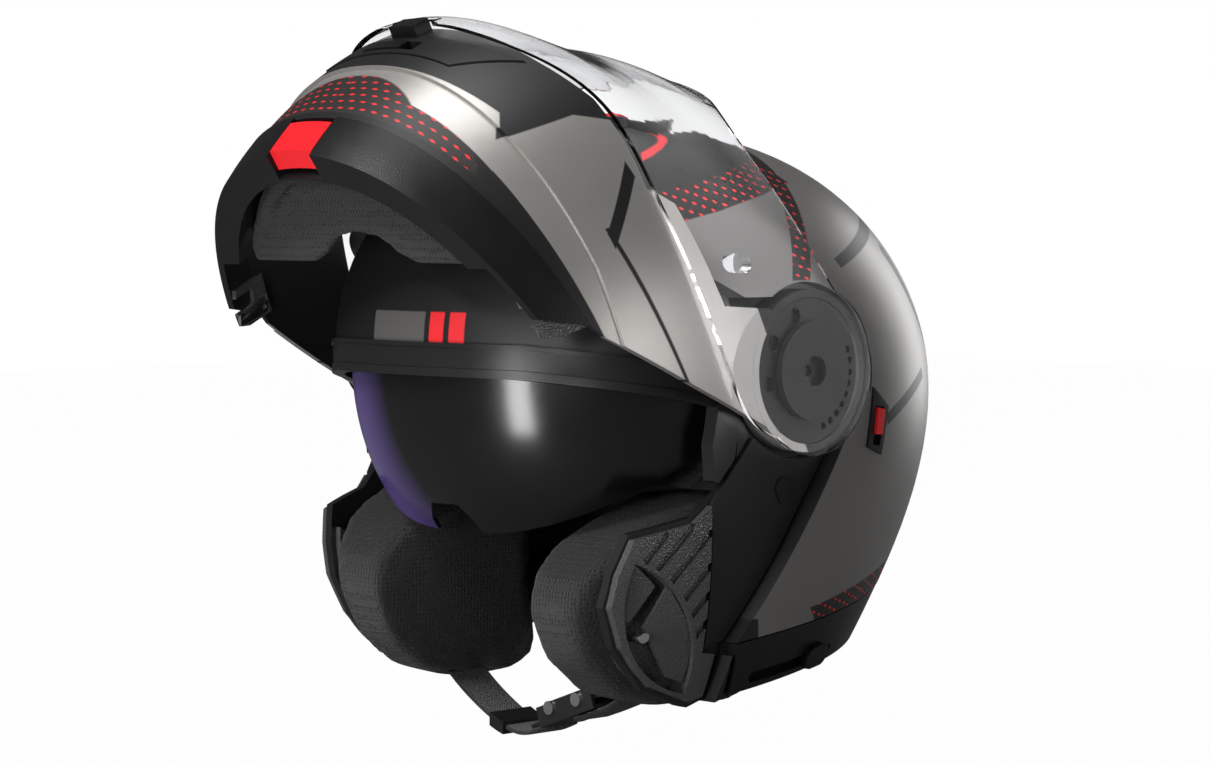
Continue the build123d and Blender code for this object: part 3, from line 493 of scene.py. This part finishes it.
@dataclass(frozen=True)
class MouldedFinish:
    """Moulded or painted plastic with a fine grain."""

    name: str
    colour: Colour
    roughness: float = 0.5
    grain_scale: float = 1400.0
    grain_depth: float = 0.00006
    metallic: float = 0.0
    coat: float = 0.0
    tone_drift: float = 0.12
    specular: float = 0.28

    TONE_RANGE = (0.3, 0.7)
    SWING = 0.05
    COAT_ROUGHNESS = 0.12

    def build(self, effects: Effects) -> bpy.types.Material:
        """Makes the material.

        Args:
            effects: The shared groups.

        Returns:
            The material.
        """
        material = bpy.data.materials.new(self.name)
        paint = Paint(material, effects)
        grain = paint.group(effects.grain(), Vector=paint.place, Scale=self.grain_scale)
        tone = grain.outputs["Tone"]
        paint.set("Base Color", paint.drift(tone, self.colour, self.tone_drift))
        paint.set("Roughness", paint.level(tone, *self.TONE_RANGE, self.roughness - self.SWING,
                                           self.roughness + self.SWING))
        paint.set("Metallic", self.metallic)
        paint.set("Coat Weight", self.coat)
        paint.set("Coat Roughness", self.COAT_ROUGHNESS)
        paint.set("Specular IOR Level", self.specular)
        if self.grain_depth:
            paint.bump(grain.outputs["Height"], self.grain_depth)
        return material


@dataclass(frozen=True)
class KnitFinish:
    """Spacer knit over a pad, with painted shade in its pits."""

    name: str
    colour: Colour
    pit_shade_colour: Colour = (0.002, 0.002, 0.0025)
    scale: float = 330.0
    depth: float = 0.0009
    roughness: float = 0.85
    sheen: float = 0.25

    def build(self, effects: Effects) -> bpy.types.Material:
        """Makes the material.

        Args:
            effects: The shared groups.

        Returns:
            The material.
        """
        material = bpy.data.materials.new(self.name)
        paint = Paint(material, effects)
        knit = paint.group(effects.knit(), Vector=paint.place, Scale=self.scale)
        # Painted shade: the pits take a darker colour where shade falls into them.
        paint.set("Base Color", paint.mix(knit.outputs["Pit"], self.colour, self.pit_shade_colour))
        paint.set("Roughness", paint.level(knit.outputs["Pit"], 0.0, 1.0, self.roughness - 0.1, 1.0))
        paint.set("Sheen Weight", self.sheen)
        paint.set("Sheen Roughness", 0.4)
        paint.bump(knit.outputs["Height"], self.depth)
        return material


@dataclass(frozen=True)
class WebbingFinish:
    """Tight woven webbing with ribs along it, and painted shade in the grooves between them."""

    name: str = "Webbing"
    colour: Colour = (0.010, 0.010, 0.011)
    pitch: float = 0.0014

    def build(self, effects: Effects) -> bpy.types.Material:
        """Makes the material.

        Args:
            effects: The shared groups.

        Returns:
            The material.
        """
        material = bpy.data.materials.new(self.name)
        paint = Paint(material, effects)
        ribs = paint.math("SINE", paint.math("MULTIPLY", paint.forward, math.tau / self.pitch))
        picks = paint.math("SINE", paint.math("MULTIPLY", paint.across, math.tau / self.pitch))
        height = paint.math("MULTIPLY", ribs, paint.level(picks, -1.0, 1.0, 0.5, 1.0))
        # Painted shade: the base colour darkens towards the troughs between the ribs.
        paint.set("Base Color", paint.mix(paint.level(height, -0.6, 0.6), (0.003, 0.003, 0.003), self.colour))
        paint.set("Roughness", 0.8)
        paint.set("Sheen Weight", 0.2)
        paint.bump(height, 0.0003)
        return material


@dataclass(frozen=True)
class ClearFinish:
    """Clear or smoked polycarbonate, with a painted reflection colour where it turns away from the viewer."""

    name: str
    colour: Colour
    transmission: float = 1.0
    roughness: float = 0.02
    ior: float = 1.49
    painted_reflection_colour: Colour | None = None
    lets_light_by: float = 0.0
    specular: float = 0.5

    def build(self, effects: Effects) -> bpy.types.Material:
        """Makes the material.

        Args:
            effects: The shared groups.

        Returns:
            The material.
        """
        material = bpy.data.materials.new(self.name)
        paint = Paint(material, effects)
        paint.set("Base Color", self.colour)
        if self.painted_reflection_colour:
            # Painted reflection: Layer Weight facing mixes a purple mirror-coat reflection into the base
            # colour.
            turned = paint.add("ShaderNodeLayerWeight")
            turned.inputs["Blend"].default_value = 0.5
            share = paint.level(turned.outputs["Facing"], 0.5, 0.82)
            paint.set("Base Color", paint.mix(share, self.colour, self.painted_reflection_colour))
        paint.set("Transmission Weight", self.transmission)
        paint.set("IOR", self.ior)
        paint.set("Specular IOR Level", self.specular)
        if self.lets_light_by:
            path = paint.add("ShaderNodeLightPath")
            paint.set("Alpha", paint.level(path.outputs["Is Shadow Ray"], 0.0, 1.0, 1.0,
                                           1.0 - self.lets_light_by))
        smear = paint.add("ShaderNodeTexNoise")
        smear.inputs["Scale"].default_value = 60.0
        paint.link(paint.place, smear.inputs["Vector"])
        paint.set("Roughness", paint.level(smear.outputs["Fac"], 0.3, 0.8, self.roughness,
                                           self.roughness + 0.03))
        return material


@dataclass(frozen=True)
class ShellPaint:
    """Satin grey and black shell with patches of small red lozenges."""

    name: str = "Body paint"
    grey: Colour = (0.19, 0.183, 0.177)
    black: Colour = (0.0075, 0.0075, 0.008)
    tape_base: Colour = (0.012, 0.010, 0.0095)
    block_grey: Colour = (0.075, 0.071, 0.068)
    red: Colour = RED_PAINT

    DARK = (
        ((200, 84), (100, 84), (53.5, 43), (34.6, 31.3), (34.6, -140), (200, -140)),
        ((34.8, 31.2), (-6, 31.2), (-20, 27), (-24, -29), (28, -115), (34.8, -115)),
        ((70, 62), (200, 62), (200, 140), (-10, 140), (-36, 108), (-26, 84)),
        ((60, -104), (60, -160), (0, -160), (19, -105)),
        ((-29, 43), (-26, 47), (-86, 68), (-90, 62)),
        ((-78, 50), (-83, 54), (-118, 6), (-112, 3)),
        ((-97, -7), (-56, -26), (-54, -21), (-95, -2)),
    )
    TAPE = (
        ((54, 62), (54, 74), (-20, 90), (-28, 80)),
        ((-4, 38), (7, 38), (-14, 82), (-26, 82)),
        ((-14, -103), (-128, -82), (-134, -98), (-24, -114)),
    )
    STROKE = ((36, 92), (40, 89), (-8, 104), (-12, 106))
    BROW_UP = (12, 25)
    BROW_GREY = (-23, 11)
    BROW_BARS = ((14, 22), (25, 33))
    ROW_ANGLE = 14.0
    ROW_PITCH = 0.0056
    DRIFT = 0.08

    def build(self, effects: Effects) -> bpy.types.Material:
        """Makes the material.

        Args:
            effects: The shared groups.

        Returns:
            The material.
        """
        material = bpy.data.materials.new(self.name)
        paint = Paint(material, effects)
        dark = paint.union(paint.polygon(points) for points in self.DARK)
        tape = paint.union(paint.polygon(points) for points in self.TAPE)
        rows = paint.rows(self.ROW_ANGLE, self.ROW_PITCH)
        grain = paint.group(effects.grain(), Vector=paint.place, Scale=paint.LACQUER_GRAIN)
        drift = paint.drift(grain.outputs["Tone"], self.grey, self.DRIFT)
        base = paint.mix(dark, drift, self.black)
        base = paint.mix(tape, base, self.tape_base)
        base = paint.mix(paint.block(self.BROW_GREY, self.BROW_UP), base, self.block_grey)
        colour = paint.mix(paint.math("MULTIPLY", rows, tape), base, self.red)
        bars = [paint.block(bar, self.BROW_UP) for bar in self.BROW_BARS]
        solid_red = paint.union([*bars, paint.polygon(self.STROKE)])
        colour = paint.mix(solid_red, colour, self.red)
        paint.set("Base Color", colour)
        shine = paint.math("MAXIMUM", dark, tape)
        paint.set("Metallic", paint.level(shine, 0.0, 1.0, 0.45, 0.0))
        paint.set("Roughness", paint.level(shine, 0.0, 1.0, 0.40, 0.46))
        paint.lacquer(grain.outputs["Height"])
        return material


@dataclass(frozen=True)
class ChinPaint:
    """Satin grey band over a black chin bar, with red lozenges under it at the front."""

    name: str = "Chin bar paint"
    grey: Colour = (0.36, 0.346, 0.33)
    black: Colour = (0.0085, 0.0085, 0.009)
    tape_base: Colour = (0.020, 0.017, 0.016)
    red: Colour = RED_PAINT

    BAND = (
        ((172, -85), (146, -80), (128, -99.6), (157, -100)),
        ((150, -81.5), (135.5, -54.6), (134, -30), (-60, -10), (-60, -82), (55, -94), (106, -98),
         (132, -99.6)),
    )
    MARKS = (
        ((113, -48), (106, -48), (84, -74), (91, -74)),
        ((93, -71.8), (93, -74), (18, -66), (18, -64.5)),
    )
    TAPE = ((200, -84), (160, -88), (136, -100), (128, -106), (160, -114), (200, -114))
    ROW_ANGLE = -4.0
    ROW_PITCH = 0.0054
    DRIFT = 0.06

    def build(self, effects: Effects) -> bpy.types.Material:
        """Makes the material.

        Args:
            effects: The shared groups.

        Returns:
            The material.
        """
        material = bpy.data.materials.new(self.name)
        paint = Paint(material, effects, Frame.CHIN)
        band = paint.union(paint.polygon(points) for points in self.BAND)
        marks = paint.union(paint.polygon(points) for points in self.MARKS)
        outside = paint.outside()
        unmarked = paint.math("SUBTRACT", 1.0, marks)
        grey = paint.math("MULTIPLY", paint.math("MULTIPLY", band, outside), unmarked)
        tape = paint.polygon(self.TAPE)
        rows = paint.rows(self.ROW_ANGLE, self.ROW_PITCH)
        grain = paint.group(effects.grain(), Vector=paint.place, Scale=paint.LACQUER_GRAIN)
        drift = paint.drift(grain.outputs["Tone"], self.grey, self.DRIFT)
        base = paint.mix(grey, paint.mix(tape, self.black, self.tape_base), drift)
        free = paint.math("MULTIPLY", outside, paint.math("SUBTRACT", 1.0, band))
        shown = paint.math("MULTIPLY", paint.math("MULTIPLY", rows, tape), free)
        paint.set("Base Color", paint.mix(shown, base, self.red))
        paint.set("Metallic", paint.level(grey, 0.0, 1.0, 0.0, 0.6))
        paint.set("Roughness", paint.level(grey, 0.0, 1.0, 0.44, 0.36))
        paint.lacquer(grain.outputs["Height"])
        return material


@dataclass
class Palette:
    """Every finish of the helmet, built once."""

    effects: Effects = field(default_factory=Effects)
    made: dict[str, bpy.types.Material] = field(default_factory=dict)

    FINISHES = {
        "shell": ShellPaint(),
        "chin": ChinPaint(),
        "trim": MouldedFinish("Trim plastic", (0.0065, 0.0065, 0.007), 0.34, 1500.0, 0.00004),
        "gloss": MouldedFinish("Gloss black plastic", (0.012, 0.012, 0.013), 0.22, 2400.0, 0.00001, coat=0.3),
        "panel": MouldedFinish("Side panel plastic", (0.0095, 0.0095, 0.010), 0.42, 1700.0, 0.00003),
        "hub": MouldedFinish("Visor hub plastic", (0.0105, 0.0105, 0.011), 0.38, 2600.0, 0.000005),
        "latch": MouldedFinish("Latch plate plastic", (0.050, 0.050, 0.052), 0.30, 1000.0, 0.00022,
                               specular=0.6),
        "rubber": MouldedFinish("Rubber seal", (0.012, 0.012, 0.0125), 0.33, 2000.0, 0.00002,
                                tone_drift=0.06),
        "foam": MouldedFinish("Bead foam", (0.010, 0.010, 0.011), 0.9, 420.0, 0.0004),
        "red": MouldedFinish("Red plastic", (0.66, 0.012, 0.018), 0.34, 1900.0, 0.00002, coat=0.2,
                             tone_drift=0.04),
        "steel": MouldedFinish("Bright steel", (0.62, 0.62, 0.63), 0.24, 2200.0, 0.00001, metallic=1.0,
                               tone_drift=0.05, specular=0.5),
        "dark_steel": MouldedFinish("Black oxide steel", (0.05, 0.05, 0.052), 0.36, 2200.0, 0.00002,
                                    metallic=0.8),
        "knit": KnitFinish("Spacer knit cloth", (0.0065, 0.0065, 0.007), scale=520.0, depth=0.0006,
                           sheen=0.08),
        "brushed": KnitFinish("Brushed lining cloth", (0.006, 0.006, 0.0065), scale=900.0, depth=0.0003,
                              sheen=0.06),
        "webbing": WebbingFinish(),
        "clear": ClearFinish("Clear polycarbonate", (0.96, 0.965, 0.975), ior=1.3, lets_light_by=0.85,
                             specular=0.2),
        # The smoke lens's purple second colour is a painted reflection of its mirror coat.
        "smoke": ClearFinish("Smoke polycarbonate", (0.0025, 0.0025, 0.003), 0.05, 0.2, 1.5,
                             (0.10, 0.065, 0.24)),
    }

    def get(self, name: str) -> bpy.types.Material:
        """The finish of that name, built on first use."""
        if name not in self.made:
            self.made[name] = self.FINISHES[name].build(self.effects)
        return self.made[name]

    def paint(self, piece: bpy.types.Object, name: str) -> None:
        """Gives a piece one finish."""
        piece.data.materials.clear()
        piece.data.materials.append(self.get(name))


@dataclass
class HardParts:
    """The CAD nodes that stay, each with its finish and broken edges."""

    palette: Palette
    nodes: dict[str, bpy.types.Object]

    FINISH = {
        "outer_shell": "shell", "chin_bar_shell": "chin", "impact_liner": "foam",
        "brow_gasket": "rubber", "port_trim": "rubber", "rim_trim": "trim", "side_panel": "panel",
        "port_plug": "trim", "latch_plate": "latch", "striker_pin": "steel", "pivot_hub": "dark_steel",
        "lock_bezel": "trim", "lock_lever": "red", "sun_visor_slider": "trim", "sun_visor": "smoke",
        "top_vent_cover": "panel", "top_vent_slider": "red", "rear_vent": "trim",
        "chin_vent_cover": "panel", "chin_vent_slider": "trim", "visor_catch": "trim",
        "chin_rim_trim": "trim", "release_button": "red", "chin_foam": "foam",
        "latch_box": "latch", "latch_hook": "steel", "visor_ratchet": "hub", "visor_shield": "clear",
        "visor_hub": "hub", "antifog_pin": "clear", "strap_anchor": "steel", "buckle_housing": "dark_steel",
        "lever_pin": "steel", "stop_pin": "steel", "buckle_lever": "dark_steel", "lever_tab": "red",
        "ratchet_strip": "panel", "strip_rivet": "steel",
    }
    BEVEL_LESS = ("visor_shield", "sun_visor")
    edge: float = 0.00045
    crease: float = 42.0

    def finish_of(self, node: str) -> str | None:
        """The finish for a node, by the longest name that starts it, or None for a soft part."""
        found = [key for key in self.FINISH if node.startswith(key)]
        return self.FINISH[max(found, key=len)] if found else None

    def dress(self) -> None:
        """Paints every hard node and breaks its edges."""
        for name, node in self.nodes.items():
            finish = self.finish_of(name)
            if finish is None:
                continue
            self.palette.paint(node, finish)
            smooth_shade(node)
            if not name.startswith(self.BEVEL_LESS):
                bevel = node.modifiers.new("Broken edge", "BEVEL")
                bevel.width = self.edge
                bevel.segments = 2
                bevel.limit_method = "ANGLE"
                bevel.angle_limit = math.radians(self.crease)
                bevel.harden_normals = True
            LOG.info("%s wears %s", name, finish)


def smooth_shade(piece: bpy.types.Object, angle: float = 32.0) -> None:
    """Shades a piece smooth with creases kept sharp.

    Args:
        piece: The piece.
        angle: Edges sharper than this, in degrees, stay sharp.
    """
    mesh = piece.data
    sharp = [False] * len(mesh.edges)
    work = bmesh.new()
    work.from_mesh(mesh)
    limit = math.radians(angle)
    for edge in work.edges:
        if len(edge.link_faces) == 2 and edge.calc_face_angle(0.0) > limit:
            sharp[edge.index] = True
    work.free()
    attribute = mesh.attributes.get("sharp_edge") or mesh.attributes.new("sharp_edge", "BOOLEAN", "EDGE")
    attribute.data.foreach_set("value", sharp)
    for polygon in mesh.polygons:
        polygon.use_smooth = True


@dataclass
class SoftPart:
    """A padded piece that stands for a plain CAD solid."""

    node: str
    body: str
    slot: str
    finish: str
    fill: float = 0.6
    voxel: float = 0.003
    shrink: float = 0.0008
    cap: float = 0.004
    rounds: int = 8

    PRESSURE = 4.0
    LAST_FRAME = 12

    def make(self, palette: Palette, nodes: dict[str, bpy.types.Object]) -> bpy.types.Object:
        """Builds the pad from the solid that it stands for.

        Args:
            palette: The finishes.
            nodes: The CAD nodes.

        Returns:
            The pad.
        """
        piece = bpy.data.objects.new(f"{self.node}_cloth", self.form(nodes))
        bpy.context.scene.collection.objects.link(piece)
        self.round_off(piece)
        self.swell(piece)
        palette.paint(piece, self.finish)
        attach(piece, self.body)
        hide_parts(self.node)
        LOG.info("%s has %d faces", piece.name, len(piece.data.polygons))
        return piece

    def form(self, nodes: dict[str, bpy.types.Object]) -> bpy.types.Mesh:
        """A copy of the solid that the pad stands for."""
        return nodes[self.node].data.copy()

    def round_off(self, piece: bpy.types.Object) -> None:
        """Remeshes the solid evenly, rounds its edges and draws it in a little."""
        remesh = piece.modifiers.new("Even", "REMESH")
        remesh.mode = "VOXEL"
        remesh.voxel_size = self.voxel
        apply_modifiers(piece)
        work = bmesh.new()
        work.from_mesh(piece.data)
        for _ in range(self.rounds):
            bmesh.ops.smooth_vert(work, verts=work.verts, factor=0.5, use_axis_x=True, use_axis_y=True,
                                  use_axis_z=True)
        work.normal_update()
        for vertex in work.verts:
            vertex.co -= vertex.normal * self.shrink
        work.to_mesh(piece.data)
        work.free()
        for polygon in piece.data.polygons:
            polygon.use_smooth = True

    def swell(self, piece: bpy.types.Object) -> None:
        """Lets the cloth swell over its filling, and keeps it near where it started."""
        start = [vertex.co.copy() for vertex in piece.data.vertices]
        cloth = piece.modifiers.new("Filling", "CLOTH")
        cloth.settings.use_pressure = True
        cloth.settings.uniform_pressure_force = self.PRESSURE
        cloth.settings.effector_weights.gravity = 0.0
        scene = bpy.context.scene
        for frame in range(1, self.LAST_FRAME + 1):
            scene.frame_set(frame)
        apply_modifiers(piece)
        scene.frame_set(1)
        for vertex, before in zip(piece.data.vertices, start):
            moved = vertex.co - before
            if moved.length > self.cap:
                vertex.co = before + moved.normalized() * self.cap


def raised(forward: float, up: float, left: float = 0.0) -> Vector:
    """A point of the closed chin bar, in millimetres, turned up with it to the rest pose."""
    y, z = -forward * MM, up * MM
    cosine, sine = math.cos(CHIN_RAISE), math.sin(CHIN_RAISE)
    return Vector((left * MM, y * cosine + z * sine, -y * sine + z * cosine))


@dataclass
class ChinPad(SoftPart):
    """The chin's padding with its curtain, a scalloped flap that closes the gap under the wearer's chin."""

    WALLS = ("chin_rim_trim", "chin_foam", "chin_bar_shell")
    SCALLOP = ((0.0, 106.5), (12.0, 105.0), (18.0, 101.0), (25.0, 96.0), (35.0, 92.5), (90.0, 92.5))
    top: float = -111.6
    base: float = -115.4
    reach: float = 75.0
    columns: int = 50

    CLEARANCE = 0.7
    SHALLOWEST = 2.0
    DEEPEST = 60.0

    def scallop(self, left: float) -> float:
        """How far forward the flap's rear edge lies at a place across the chin."""
        away = abs(left)
        for (start, low), (end, high) in zip(self.SCALLOP, self.SCALLOP[1:]):
            if away <= end:
                share = (away - start) / (end - start)
                share = share * share * (3.0 - 2.0 * share)
                return low + (high - low) * share
        return self.SCALLOP[-1][1]

    def form(self, nodes: dict[str, bpy.types.Object]) -> bpy.types.Mesh:
        """The pad's solid with the flap added, both closed.

        Args:
            nodes: The CAD nodes.

        Returns:
            The joined mesh.
        """
        walls = []
        for name in self.WALLS:
            work = bmesh.new()
            work.from_mesh(nodes[name].data)
            walls.append(BVHTree.FromBMesh(work))
            work.free()
        mesh = nodes[self.node].data.copy()
        work = bmesh.new()
        work.from_mesh(mesh)
        ahead = (raised(1.0, 0.0) - raised(0.0, 0.0)).normalized()
        columns = []
        for step in range(self.columns + 1):
            left = self.reach * (2.0 * step / self.columns - 1.0)
            inner = self.scallop(left)
            outer = []
            for up in (self.top, self.base):
                start = raised(inner, up, left)
                found = [hit[3] / MM for hit in (wall.ray_cast(start, ahead) for wall in walls) if hit[0]]
                depth = min([*found, self.DEEPEST]) - self.CLEARANCE
                outer.append(inner + max(self.SHALLOWEST, depth))
            reach = min(outer)
            columns.append([work.verts.new(raised(f, u, left)) for f, u in (
                (inner, self.top), (inner, self.base), (reach, self.base), (reach, self.top))])
        for first, second in zip(columns, columns[1:]):
            for index in range(4):
                after = (index + 1) % 4
                work.faces.new((first[index], second[index], second[after], first[after]))
        work.faces.new(columns[0])
        work.faces.new(list(reversed(columns[-1])))
        bmesh.ops.recalc_face_normals(work, faces=work.faces)
        work.to_mesh(mesh)
        work.free()
        return mesh


def apply_modifiers(piece: bpy.types.Object) -> None:
    """Turns a piece's modifiers into its mesh."""
    depsgraph = bpy.context.evaluated_depsgraph_get()
    baked = bpy.data.meshes.new_from_object(piece.evaluated_get(depsgraph))
    piece.modifiers.clear()
    old = piece.data
    piece.data = baked
    bpy.data.meshes.remove(old)


@dataclass
class Linings:
    """Every soft piece inside the helmet and the chin bar."""

    palette: Palette
    nodes: dict[str, bpy.types.Object]

    def make(self) -> None:
        """Builds each lining."""
        for part in (
            SoftPart("cheek_pad_left", "helmet", "pad_fabric", "knit"),
            SoftPart("cheek_pad_right", "helmet", "pad_fabric", "knit"),
            SoftPart("crown_pad", "helmet", "pad_fabric", "brushed", cap=0.002),
            SoftPart("neck_roll", "helmet", "pad_fabric", "brushed", cap=0.002),
            ChinPad("chin_mesh_pad", "chin_bar", "pad_fabric", "knit", voxel=0.0014, shrink=0.0002,
                    cap=0.001, rounds=5),
        ):
            part.make(self.palette, self.nodes)


@dataclass
class Webbing:
    """One flat strap of webbing along a path in the strap's plane."""

    node: str
    path: Sequence[Point2]
    width: float = 22.0
    thickness: float = 2.0
    forward: float = 35.0
    steps: int = 9

    SELVEDGE = ((1.0, 1.6), (0.85, 0.6), (0.4, 0.0))
    CREASE = 50.0

    def places(self) -> list[Point2]:
        """Points close together on a smooth curve through the path."""
        points = [self.path[0], *self.path, self.path[-1]]
        out = []
        for a, b, c, d in zip(points, points[1:], points[2:], points[3:]):
            for step in range(self.steps):
                t = step / self.steps
                out.append(tuple(
                    0.5 * (2 * q + (r - p) * t + (2 * p - 5 * q + 4 * r - u) * t * t
                           + (3 * q - p - 3 * r + u) * t ** 3) for p, q, r, u in zip(a, b, c, d)))
        return [*out, self.path[-1]]

    def section(self) -> list[Point2]:
        """The strap's outline as (across its thickness, across its width), with its selvedges rounded."""
        thick, wide = self.thickness / 2, self.width / 2
        face = [(thick * share, wide - inset) for share, inset in self.SELVEDGE]
        rim = [*face, *[(-n, w) for n, w in reversed(face)]]
        return [*rim, *[(-n, -w) for n, w in rim]]

    def make(self, palette: Palette) -> bpy.types.Object:
        """Builds the strap.

        Args:
            palette: The finishes.

        Returns:
            The strap.
        """
        places = self.places()
        work = bmesh.new()
        rings = []
        for index, place in enumerate(places):
            before, after = places[max(0, index - 1)], places[min(len(places) - 1, index + 1)]
            along = Vector((after[0] - before[0], after[1] - before[1])).normalized()
            rings.append([work.verts.new(Vector((place[0] - along.y * n, -self.forward + w,
                                                 place[1] + along.x * n)) * MM)
                          for n, w in self.section()])
        count = len(rings[0])
        for first, second in zip(rings, rings[1:]):
            for index in range(count):
                after = (index + 1) % count
                work.faces.new((first[index], first[after], second[after], second[index]))
        work.faces.new(rings[0])
        work.faces.new(list(reversed(rings[-1])))
        bmesh.ops.recalc_face_normals(work, faces=work.faces)
        mesh = bpy.data.meshes.new(f"{self.node}_webbing")
        work.to_mesh(mesh)
        work.free()
        piece = bpy.data.objects.new(mesh.name, mesh)
        bpy.context.scene.collection.objects.link(piece)
        palette.paint(piece, "webbing")
        smooth_shade(piece, self.CREASE)
        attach(piece, "helmet")
        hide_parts(self.node)
        return piece


@dataclass
class Straps:
    """The webbing and its keeper."""

    palette: Palette
    nodes: dict[str, bpy.types.Object]

    PATHS = {
        "strap_left": ((86, -92), (85, -103), (79, -117), (66, -132.5), (53, -144), (41.4, -149.4),
                       (27.3, -154.5)),
        "strap_right": ((-86, -92), (-85, -103), (-79, -117), (-66, -132.5), (-48, -147.5), (-28, -159),
                        (-13, -164.1), (-3.3, -164.0), (6.5, -160.4)),
    }

    def make(self) -> None:
        """Lays the webbing of both sides and paints the keeper."""
        for node, path in self.PATHS.items():
            Webbing(node, path).make(self.palette)
        self.palette.paint(self.nodes["strap_keeper"], "rubber")
        smooth_shade(self.nodes["strap_keeper"])


@dataclass
class Studio:
    """Floor, light and camera."""

    azimuth: float = 46.0
    elevation: float = 3.0
    distance: float = 1.5
    aim_right: float = -0.00045
    aim_up: float = -0.00968
    lens: float = 99.07
    floor_size: float = 6.0
    ambient: float = 0.06

    SENSOR = 36.0
    CLIP = (0.05, 50.0)
    LAMPS = (
        ("Key", (-1.0, 1.2, 0.9), (0.8, 0.8), 30.0),
        ("Rim right", (1.0, 0.25, -1.15), (0.5, 1.0), 8.0),
        ("Top", (-0.15, 1.8, 0.25), (1.1, 0.7), 15.0),
        ("Right side", (1.5, -0.02, 0.9), (0.25, 0.5), 5.0),
        ("Front fill", (-0.5, 0.15, 1.7), (0.3, 0.3), 7.0),
        ("Lens card", (-0.22, -0.125, 0.32), (0.075, 0.24), 1.0),
    )
    FLOOR_GREY = 0.14
    FLOOR_ROUGHNESS = 0.9
    FLOOR_GLOW = 0.985

    def axes(self) -> tuple[Vector, Vector, Vector]:
        """The camera's right, up and back."""
        a, e = math.radians(self.azimuth), math.radians(self.elevation)
        right = Vector((math.cos(a), math.sin(a), 0.0))
        up = Vector((-math.sin(a) * math.sin(e), math.cos(a) * math.sin(e), math.cos(e)))
        back = Vector((math.sin(a) * math.cos(e), -math.cos(a) * math.cos(e), math.sin(e)))
        return right, up, back

    def camera(self) -> None:
        """Places the camera at the photograph's angle."""
        right, up, back = self.axes()
        data = bpy.data.cameras.new("Camera")
        data.lens = self.lens
        data.sensor_width = self.SENSOR
        data.clip_start, data.clip_end = self.CLIP
        camera = bpy.data.objects.new("Camera", data)
        bpy.context.scene.collection.objects.link(camera)
        place = back * self.distance + right * self.aim_right + up * self.aim_up
        turn = Matrix((right, up, back)).transposed()
        camera.matrix_world = Matrix.Translation(place) @ turn.to_4x4()
        bpy.context.scene.camera = camera

    def lamp(self, name: str, place: Vector, size: tuple[float, float], power: float) -> None:
        """Adds a soft lamp that faces the helmet.

        Args:
            name: The lamp's name.
            place: Where it hangs, along the camera's right, up and back.
            size: Its width and height, in metres.
            power: Its power in watts.
        """
        right, up, back = self.axes()
        data = bpy.data.lights.new(name, "AREA")
        data.shape = "RECTANGLE"
        data.size, data.size_y = size
        data.energy = power
        lamp = bpy.data.objects.new(name, data)
        lamp.location = right * place.x + up * place.y + back * place.z
        lamp.rotation_euler = lamp.location.to_track_quat("Z", "Y").to_euler()
        bpy.context.scene.collection.objects.link(lamp)

    def light(self) -> None:
        """Adds the lamps."""
        for name, place, size, power in self.LAMPS:
            self.lamp(name, Vector(place), size, power)

    def world(self) -> None:
        """Makes a world that is white to the camera and through clear plastic, and mild as light."""
        world = bpy.data.worlds.new("Studio")
        bpy.context.scene.world = world
        world.use_nodes = True
        write = NodeWriter(world.node_tree)
        background = next(n for n in world.node_tree.nodes if n.type == "BACKGROUND")
        background.inputs["Color"].default_value = (1.0, 1.0, 1.0, 1.0)
        write.link(write.level(write.seen(), 0.0, 1.0, self.ambient, 1.0), background.inputs["Strength"])

    def floor(self, height: float) -> None:
        """Lays a pale floor.

        Args:
            height: The floor's height, in metres.
        """
        half = self.floor_size / 2
        mesh = bpy.data.meshes.new("Floor")
        mesh.from_pydata([(-half, -half, height), (half, -half, height), (half, half, height),
                          (-half, half, height)], [], [(0, 1, 2, 3)])
        floor = bpy.data.objects.new("Floor", mesh)
        bpy.context.scene.collection.objects.link(floor)
        material = bpy.data.materials.new("Floor")
        material.use_nodes = True
        write = NodeWriter(material.node_tree)
        shader = next(n for n in material.node_tree.nodes if n.type == "BSDF_PRINCIPLED")
        output = next(n for n in material.node_tree.nodes if n.type == "OUTPUT_MATERIAL")
        shader.inputs["Base Color"].default_value = (self.FLOOR_GREY,) * 3 + (1.0,)
        shader.inputs["Roughness"].default_value = self.FLOOR_ROUGHNESS
        glow = write.add("ShaderNodeEmission")
        blend = write.add("ShaderNodeMixShader")
        write.link(write.math("MULTIPLY", write.seen(), self.FLOOR_GLOW), blend.inputs[0])
        write.link(shader.outputs[0], blend.inputs[1])
        write.link(glow.outputs[0], blend.inputs[2])
        write.link(blend.outputs[0], output.inputs["Surface"])
        mesh.materials.append(material)
        floor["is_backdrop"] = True

    def build(self, lowest: float) -> None:
        """Builds the whole studio round the helmet."""
        self.camera()
        self.light()
        self.world()
        self.floor(lowest)
        bpy.context.scene.view_settings.view_transform = "Standard"


def main() -> None:
    """Loads the frame, dresses it and builds the studio."""
    logging.basicConfig(level=logging.INFO, format="%(message)s")
    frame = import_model()
    cad_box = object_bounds()
    palette = Palette()
    nodes = frame["nodes"]
    HardParts(palette, nodes).dress()
    Linings(palette, nodes).make()
    Straps(palette, nodes).make()
    lowest = cad_box[0][2]
    Studio().build(lowest - FLOOR_DROP)


if __name__ == "__main__":
    main()
